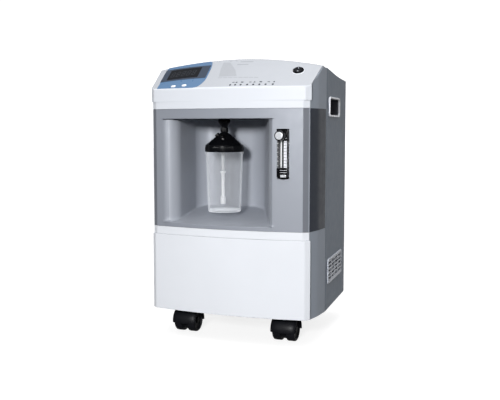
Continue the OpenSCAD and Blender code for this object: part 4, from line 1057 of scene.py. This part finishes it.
# a white strip down the front of the clear body: painted highlight of the tube
addbox(fx - 2.5, fx - 0.1, FF - 0.9, FF + 0.1, FZB + 1.2, FZT - 1.2)
ob = obj_from("flow_front_ticks_and_painted_highlight", V, F, M["scale_white"], "cabinet", 30); mod_bevel(ob, 0.25, 2, 40)
V, F = [], []
for z0, z1, x0, x1 in ((352.6, 357.6, fx - 3.5, fx + 9.0), (361.6, 362.8, fx - 4.5, fx + 10.4), (366.2, 367.2, fx - 4.5, fx + 10.4), (430.4, 431.4, fx - 4.0, fx + 10.4)):
    addbox(x0, x1, FF - 0.45, FF + 0.6, z0, z1)
ob = obj_from("flow_trim", V, F, M["knob"], "cabinet", 30); mod_bevel(ob, 0.3, 2, 40)
v, f = box_mesh(fx - fw / 2 + 0.3, fx + 4.4, -145.4, -144.4, FZB + 0.6, FZT - 0.6)
ob = obj_from("flow_back_plate", v, f, M["switch_black"], "cabinet", 30)
# the tapered inner tube, drawn as an opaque white core with its edges: painted highlight of the clear tube
v, f = lathe([(0.2, FZB + 0.6), (2.35, FZB + 0.6), (2.9, FZB + 3.0), (3.3, FZT - 3.0), (2.9, FZT - 0.8), (0.2, FZT - 0.8)], 40, fx, -151.8)
ob = obj_from("flow_core_painted_highlight", v, f, M["scale_white"], "cabinet", 30)
# float
v, f = lathe([(0.02, FZB + 0.02), (3.3, FZB + 0.02), (3.7, FZB + 0.5), (3.7, FZB + 2.6), (3.4, FZB + 3.2), (2.0, FZB + 5.6), (1.2, FZB + 6.0), (0.02, FZB + 6.0)], 40, fx, -160)
ob = obj_from("flow_float", v, f, M["float_black"], "float", 40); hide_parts("flowmeter_float")
# knob: fluted black skirt, polished face
def knob():
    kz = 436.4; R = 10.2
    n = 120
    prof = [(3.0, -150.0, 0), (3.0, -173.6, 0), (6.4, -173.8, 0), (6.6, -177.4, 0), (9.2, -177.8, 0), (R - 0.2, -178.4, 0.0), (R, -179.2, 1), (R, -190.6, 1), (R - 0.25, -191.6, 0.6), (R - 0.8, -192.3, 0), (R - 1.7, -192.55, 0)]
    rows = []
    for r, y, fl in prof:
        row = []
        for i in range(n):
            a = 2 * math.pi * i / n
            rr = r - fl * 0.55 * (0.5 + 0.5 * math.cos(24 * a)) ** 1.5
            row.append((fx + rr * math.cos(a), y, kz + rr * math.sin(a)))
        rows.append(row)
    v, f = grid(rows, True)
    f.append(tuple(reversed(range(n)))); f.append(tuple(range(len(v) - n, len(v))))
    ob = obj_from("flow_knob_skirt", v, f, M["black_gloss"], "flow_knob", 35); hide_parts("flowmeter_knob")
    face = [(R - 2.3, -192.3), (R - 2.5, -192.7), (R - 3.0, -192.9), (R - 4.5, -192.9), (3.0, -192.9), (0.6, -192.9)]
    rows = [[(fx + r * math.cos(2 * math.pi * i / 64), y, kz + r * math.sin(2 * math.pi * i / 64)) for i in range(64)] for r, y in face]
    v, f = grid(rows, True)
    f.append(tuple(range(len(v) - 64, len(v)))); f.append(tuple(reversed(range(64))))
    ob = obj_from("flow_knob_face", v, f, M["knob"], "flow_knob", 40)
knob()

# ------------------------------------------------------------------ humidifier
BX, BY = -26.0, -110.0
def revolve(name, prof, mat, body, node=None, slot=None, n=128, cx=BX, cy=BY, **kw):
    v, f = lathe(prof, n, cx, cy, **kw)
    ob = obj_from(name, v, f, mat, body, kw.get("sharp", 35) if False else 35)
    if node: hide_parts(node)
    return ob
fit = rounded_prof([(3.4, 447.7), (6.2, 447.7), (6.2, 454.1), (8.1, 454.1), (8.1, 456.0), (12.7, 463.6), (12.7, 470.9), (8.0, 470.9), (8.0, 489.5), (3.4, 489.5)], [0, 0.5, 0.3, 0.4, 1.5, 1.5, 0.3, 0.3, 0.5, 0], 4)
revolve("ceiling_fitting", fit + [fit[0]], M["black_gloss"], "cabinet", "outlet_fitting", "black_gloss")
nutp = [(6.6, 442.4), (7.4, 442.4), (8.2, 442.7), (8.6, 443.5), (8.6, 444.5), (8.6, 451.0), (8.5, 452.2), (8.0, 453.0), (7.2, 453.3), (6.6, 453.3), (6.6, 442.4)]
revolve("union_nut", nutp, M["black_gloss"], "nut", "connector_nut", "black_gloss", n=288, ribs=12, rib_depth=0.8, rib_rows=(3, 4, 5, 6))
lid = rounded_prof([(38.8, 400.9), (41.1, 400.9), (41.5, 401.4), (41.5, 413.6), (40.6, 415.4), (10.0, 440.7), (8.4, 442.0), (6.2, 442.0), (6.2, 446.9), (3.4, 446.9), (3.4, 436.2), (10.0, 433.2), (36.5, 413.1), (38.8, 412.3), (38.8, 400.9)],
                   [0, 0.3, 0.3, 1.2, 1.5, 2.0, 0.4, 0.4, 0.4, 0.4, 0.5, 1, 1, 0.5, 0], 4)
revolve("lid_shell", lid, M["black_gloss"], "cabinet", "humidifier_lid", "black_gloss", n=160)
# grip ribs round the lid's skirt
V, F = [], []
for i in range(60):
    a = 2 * math.pi * (i + 0.5) / 60
    ca, sa = math.cos(a), math.sin(a)
    b = len(V)
    for z, d in ((402.2, 0.0), (403.0, 0.42), (411.0, 0.42), (412.4, 0.0)):
        for w in (-0.75, -0.3, 0.3, 0.75):
            rr = 41.4 + (d if abs(w) < 0.5 else 0.0)
            V.append((BX + rr * ca - w * sa, BY + rr * sa + w * ca, z))
    for j in range(3):
        for k in range(3):
            F.append((b + j * 4 + k, b + j * 4 + k + 1, b + (j + 1) * 4 + k + 1, b + (j + 1) * 4 + k))
    F.append((b, b + 4, b + 8, b + 12, b + 15, b + 11, b + 7, b + 3))
    F.append((b, b + 3, b + 2, b + 1)); F.append((b + 12, b + 13, b + 14, b + 15))
ob = obj_from("lid_ribs", V, F, M["black_gloss"], "cabinet", 50)
def turned(name, prof, o, d, mat, body="cabinet", n=48):
    """Solid of revolution about any axis; prof is (r, distance along d) and starts and ends near the axis."""
    d = Vector(d).normalized(); o = Vector(o)
    ex = Vector((0, 0, 1)).cross(d).normalized(); ey = d.cross(ex)
    rows = [[tuple(o + d * h + ex * (r * math.cos(2 * math.pi * i / n)) + ey * (r * math.sin(2 * math.pi * i / n))) for i in range(n)] for r, h in prof]
    v, f = grid(rows, True)
    f.append(tuple(reversed(range(n)))); f.append(tuple(range(len(v) - n, len(v))))
    ob = obj_from(name, v, f, mat, body, 40)
    return ob
# spigot for the patient tube, and the relief valve beside the neck
sdir = (math.sin(math.radians(74)) * math.cos(math.radians(75)), -math.sin(math.radians(74)) * math.sin(math.radians(75)), math.cos(math.radians(74)))
turned("outlet_spigot", [(5.2, 13), (5.2, 27.9), (4.9, 28.7), (4.2, 29), (3.3, 29.05), (3.1, 29.4), (3.1, 31.6), (3.2, 31.8), (3.2, 34.2), (2.8, 34.6), (2.8, 35.2), (3.2, 36.2), (3.2, 38.2), (2.8, 38.6), (2.8, 39.2), (3.2, 40.2),
                            (3.2, 42.0), (2.7, 42.9), (1.8, 43.0), (1.6, 42.8), (1.6, 20.0), (0.05, 19.9)], (BX, BY, 424.3), sdir, M["black_gloss"])
rdir = (-0.934 * math.sin(math.radians(39.6)), -0.357 * math.sin(math.radians(39.6)), math.cos(math.radians(39.6)))
turned("relief_valve", [(0.05, -3.0), (5.2, -3.0), (5.2, 2.5), (5.0, 3.1), (4.5, 3.4), (3.4, 3.4), (3.2, 2.9), (2.0, 2.7), (1.6, 3.3), (0.05, 3.35)], (BX - 0.934 * 15, BY - 0.357 * 15, 436.6), rdir, M["black_gloss"])
jz = 272.0
jo = rounded_prof([(0.05, jz + 2.0), (24.6, jz + 2.0), (28.6, jz + 1.2), (29.6, jz), (33.8, jz), (35.3, jz + 2.6), (39.2, 388.0), (39.6, 396.0), (40.9, 397.8), (40.9, 400.3), (38.2, 400.3), (38.2, 409.9), (36.2, 409.9), (36.2, 399.0), (37.5, 396.5), (36.9, 388.0), (33.4, jz + 5.0), (31.0, jz + 3.9), (0.05, jz + 3.9)],
                  [0, 1.5, 0.8, 0.5, 1.2, 2.0, 3.0, 1.0, 0.6, 0.6, 0.3, 0.3, 0.4, 1, 1, 3, 2.5, 1, 0], 4)
v, f = lathe(jo, 160, BX, BY)
ob = obj_from("jar_wall", v, f, [M["jar_frosted"], M["jar_base"]], "jar", 50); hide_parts("humidifier_jar")
# the thick base ring takes jar_base: more opaque plastic, plus a painted glow
for p in ob.data.polygons:
    c = p.center * 1000
    r_c = math.hypot(c.x - BX, c.y - YS - BY)
    if c.z < jz + 5.2 and r_c > 29.0: p.material_index = 1
# moulded level lines
def ringband(name, r, z, h, mat, body, d=0.25, n=128, a0=0.0, a1=360.0):
    m = 72
    rows = []
    for (dr, dz) in ((-0.05, -h / 2), (d, -h / 2 + 0.1), (d, h / 2 - 0.1), (-0.05, h / 2)):
        rows.append([(BX + (r + dr) * math.cos(math.radians(a0 + (a1 - a0) * i / m)), BY + (r + dr) * math.sin(math.radians(a0 + (a1 - a0) * i / m)), z + dz) for i in range(m + 1)])
    v, f = grid(rows)
    n1 = m + 1
    f += [(i + 1, i, 3 * n1 + i, 3 * n1 + i + 1) for i in range(m)]
    f += [(0, n1, 2 * n1, 3 * n1)[::-1], (m, n1 + m, 2 * n1 + m, 3 * n1 + m)]
    ob = obj_from(name, v, f, mat, body, 40)
def jar_r(z): return 35.3 + (39.2 - 35.3) * (z - 274.6) / (388.0 - 274.6)
ringband("jar_line_low", jar_r(306), 306, 0.9, M["jar_frosted"], "jar", a0=215, a1=325)
ringband("jar_line_high", jar_r(358), 358, 0.9, M["jar_frosted"], "jar", a0=215, a1=325)
# down tube with collar and diffuser
tb = rounded_prof([(0.05, 287.7), (5.0, 287.7), (5.6, 288.6), (5.6, 303.0), (5.0, 305.2), (3.7, 306.0), (3.7, 355.0), (6.4, 355.4), (6.4, 358.0), (3.7, 358.4), (3.7, 423.0), (2.3, 423.0), (2.3, 300.5), (0.05, 300.5)], [0, 0.4, 0.4, 0.8, 0.8, 0.8, 0.5, 0.3, 0.3, 0.5, 0.2, 0.2, 0.2, 0], 3)
ob = revolve("dip_tube", tb, [M["tube_white"], M["tube_upper_painted_shade"]], "cabinet", "down_tube", "tube_white", n=64, cx=BX - 3.5)
# above the collar the tube takes the darker white: painted shadow of the lid
for p in ob.data.polygons:
    if p.center.z > 0.3584: p.material_index = 1
gs = [(36.2, 410.3), (38.0, 410.3), (38.1, 410.9), (38.0, 411.5), (36.2, 411.5), (36.1, 410.9), (36.2, 410.3)]
revolve("seal_ring", gs, M["rubber"], "jar_seal", "jar_gasket", "rubber", n=128)

# ------------------------------------------------------------------ castors
def castor(nm, px, py):
    body = "swivel_" + nm; roll = "roll_" + nm
    R = 25.0; tr = 16.0
    cy = py - tr; cz = R
    # hood: a rounded shell over both wheels
    rows = []
    nA = 30
    for k in range(nA + 1):
        a = math.radians(-8 + 196 * k / nA)     # from front low to back low, over the top
        row = []
        for j in range(-10, 11):
            t = j / 10.0
            w = 28.0
            x = w * math.sin(t * math.pi / 2)
            # crowned across its width and rolled down at the sides
            r = 29.4 - 6.5 * (1 - math.cos(t * math.pi / 2)) ** 1.3
            row.append((px + x, cy - r * math.cos(a), cz + r * math.sin(a)))
        rows.append(row)
    v, f = grid(rows)
    me = bpy.data.meshes.new("castor_hood_" + nm)
    me.from_pydata([(x * 0.001, (y + YS) * 0.001, z * 0.001) for x, y, z in v], [], f)
    bm = bmesh.new(); bm.from_mesh(me); bmesh.ops.recalc_face_normals(bm, faces=bm.faces)
    cen = Vector((px, cy + YS, cz)) * 0.001
    if bm.faces and (bm.faces[:][len(bm.faces) // 2].calc_center_median() - cen).dot(bm.faces[:][len(bm.faces) // 2].normal) < 0:
        bmesh.ops.reverse_faces(bm, faces=bm.faces)
    bm.to_mesh(me); bm.free()
    ob = bpy.data.objects.new("castor_hood_" + nm, me)
    bpy.context.scene.collection.objects.link(ob)
    me.materials.append(M["castor_black"])
    mod_solid(ob, 2.2); mod_bevel(ob, 0.7, 3, 50)
    apply_mods(ob)
    ob.data.polygons.foreach_set("use_smooth", [True] * len(ob.data.polygons))
    ob.data.set_sharp_from_angle(angle=math.radians(45))
    mod_wn(ob)
    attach(ob, body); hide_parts("castor_" + nm)
    # centre web
    o = []
    for k in range(40):
        a = 2 * math.pi * k / 40
        o.append((cy - 20.5 * math.cos(a), cz + 20.5 * math.sin(a)))
    n = len(o)
    V = [(px - 3.6, y, z) for y, z in o] + [(px + 3.6, y, z) for y, z in o]
    F = [tuple(range(n)), tuple(reversed(range(n, 2 * n)))] + [(i, n + i, n + (i + 1) % n, (i + 1) % n) for i in range(n)]
    ob = obj_from("castor_web_" + nm, V, F, M["castor_black"], body, 40); mod_bevel(ob, 0.8, 2)
    # stem with flange
    v, f = lathe(rounded_prof([(0.05, 48.0), (13.0, 48.0), (14.0, 50.0), (14.0, 56.6), (12.0, 57.4), (5.5, 57.4), (5.5, 82.0), (4.6, 83.0), (0.05, 83.0)], [0, 1, 1, 1, 1, 0.5, 1, 0.5, 0], 3), 48, px, py)
    ob = obj_from("castor_stem_" + nm, v, f, M["castor_black"], body, 35)
    # wheels: tread with a groove, dished hub
    for s in (-1, 1):
        prof = [(0.05, 5.7), (6.0, 5.7), (6.6, 5.9), (20.0, 5.9), (23.6, 6.2), (24.7, 7.2), (25.0, 8.6), (25.0, 13.2), (24.5, 13.7), (24.5, 14.7), (25.0, 15.2), (25.0, 20.6), (24.6, 22.6), (23.2, 24.0), (21.2, 24.4),
                (19.8, 24.1), (19.0, 22.6), (18.4, 21.4), (8.0, 20.8), (7.2, 21.4), (6.6, 23.0), (5.6, 23.6), (0.05, 23.8)]
        nn = 72
        rows = [[(px + s * w, cy + r * math.cos(2 * math.pi * i / nn), cz + r * math.sin(2 * math.pi * i / nn)) for i in range(nn)] for r, w in prof]
        v, f = grid(rows, True)
        f.append(tuple(range(nn))); f.append(tuple(range(len(v) - nn, len(v))))
        ob = obj_from("wheel_%s_%s" % (nm, "r" if s > 0 else "l"), v, f, M["tyre"], roll, 35)
        if s > 0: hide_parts("wheels_" + nm)
    rows = [[(px + w, cy + 3.0 * math.cos(2 * math.pi * i / 24), cz + 3.0 * math.sin(2 * math.pi * i / 24)) for i in range(24)] for w in (-22, 22)]
    v, f = grid(rows, True); f.append(tuple(range(24))); f.append(tuple(range(24, 48)))
    ob = obj_from("axle_" + nm, v, f, M["screw_steel"], roll, 35)
castor("front_left", -115.0, -92.0)
castor("front_right", 115.0, -92.0)
castor("rear_left", -80.0, 118.0)
castor("rear_right", 80.0, 118.0)

# ------------------------------------------------------------------ carried-over CAD pieces
slot_mat = {s["slot"]: s for s in frame["record"]["materials"]}
node_slot = {s["node"]: s["material_slot"] for s in frame["record"]["subparts"]}
for name, ob in frame["nodes"].items():
    sl = node_slot[name]
    m = M.get(sl) or M["dark_plastic"]
    ob.data.materials.clear()
    ob.data.materials.append(m)
    for p in ob.data.polygons: p.material_index = 0
for name in ("filter_cover", "power_inlet", "breaker_body", "breaker_button", "cover_screws", "base_tray"):
    ob = frame["nodes"][name]
    w = ob.modifiers.new("weld", "WELD"); w.merge_threshold = 0.00001
    if name != "filter_cover":
        d = ob.modifiers.new("planar", "DECIMATE"); d.decimate_type = "DISSOLVE"; d.angle_limit = math.radians(1.0)
    mod_bevel(ob, 0.3 if name != "base_tray" else 0.6, 2, 40)
    mod_wn(ob)

# ------------------------------------------------------------------ stage, light, camera
def stage_plane():
    me = bpy.data.meshes.new("floor")
    s = 14.0
    me.from_pydata([(-s, -s, 0), (s, -s, 0), (s, s, 0), (-s, s, 0)], [], [(0, 1, 2, 3)])
    ob = bpy.data.objects.new("floor", me)
    bpy.context.scene.collection.objects.link(ob)
    m, nt, b = mat_new("floor")
    v = coords(nt)
    c = mixc(nt, mapr(nt, noise(nt, v, 1.5, 2.0), 0.0, 1.0), (0.24, 0.24, 0.243), (0.25, 0.25, 0.25))
    nt.links.new(c, b.inputs["Base Color"])
    b.inputs["Roughness"].default_value = 0.75
    b.inputs["Specular IOR Level"].default_value = 0.2
    b.inputs["Emission Color"].default_value = (1.0, 1.0, 1.0, 1.0)
    b.inputs["Emission Strength"].default_value = 0.82
    me.materials.append(m)
    ob.visible_diffuse = False
    ob.visible_glossy = False
stage_plane()

w = bpy.data.worlds.new("studio")
bpy.context.scene.world = w
w.use_nodes = True
nt = w.node_tree
bg = nt.nodes["Background"]
tc = n_(nt, "ShaderNodeTexCoord")
def lobe(d, power, gain):
    dp = n_(nt, "ShaderNodeVectorMath", operation="DOT_PRODUCT")
    dp.inputs[1].default_value = Vector(d).normalized()
    nt.links.new(tc.outputs["Generated"], dp.inputs[0])
    mx = n_(nt, "ShaderNodeMath", operation="MAXIMUM"); mx.inputs[1].default_value = 0.0
    pw = n_(nt, "ShaderNodeMath", operation="POWER"); pw.inputs[1].default_value = power
    ml = n_(nt, "ShaderNodeMath", operation="MULTIPLY"); ml.inputs[1].default_value = gain
    nt.links.new(dp.outputs["Value"], mx.inputs[0]); nt.links.new(mx.outputs[0], pw.inputs[0]); nt.links.new(pw.outputs[0], ml.inputs[0])
    return ml.outputs[0]
def plus(a, b):
    ad = n_(nt, "ShaderNodeMath", operation="ADD")
    nt.links.new(a, ad.inputs[0])
    if isinstance(b, float): ad.inputs[1].default_value = b
    else: nt.links.new(b, ad.inputs[1])
    return ad.outputs[0]
total = plus(plus(lobe((-0.34, 0.94, 0.0), 3.0, 1.25), lobe((0.0, 0.0, 1.0), 8.0, 3.75)), 0.06)
nt.links.new(total, bg.inputs["Strength"])
bg.inputs["Color"].default_value = (1.0, 1.0, 1.0, 1.0)

def area(name, loc, aim, size, energy, col=(1, 1, 1), size_y=None):
    l = bpy.data.lights.new(name, "AREA")
    l.energy = energy; l.size = size; l.color = col
    if size_y: l.shape = "RECTANGLE"; l.size_y = size_y
    o = bpy.data.objects.new(name, l)
    bpy.context.scene.collection.objects.link(o)
    o.location = loc
    d = Vector(aim) - Vector(loc)
    o.rotation_euler = d.to_track_quat("-Z", "Y").to_euler()
    return o
area("key", (0.34, -2.3, 0.84), (0.0, 0.0, 0.30), 0.30, 54.0, size_y=0.26)
area("side_fill", (2.2, -0.9, 0.9), (0.0, 0.0, 0.35), 1.2, 7.5, size_y=1.0)
area("left_fill", (-1.6, -2.0, 0.9), (0.0, 0.0, 0.35), 1.2, 1.5, size_y=1.0)

cam = bpy.data.cameras.new("camera")
co = bpy.data.objects.new("camera", cam)
bpy.context.scene.collection.objects.link(co)
co.location = (0.6209, -1.6497 + YS * 0.001, 0.4512)
co.rotation_euler = (math.radians(90.0 - 5.3), 0.0, math.radians(20.9))
cam.sensor_width = 36.0
cam.lens = 773.0 / 500.0 * 36.0
cam.clip_start = 0.05
bpy.context.scene.camera = co
bpy.context.scene.view_settings.view_transform = "Standard"
bpy.context.scene.view_settings.look = "None"
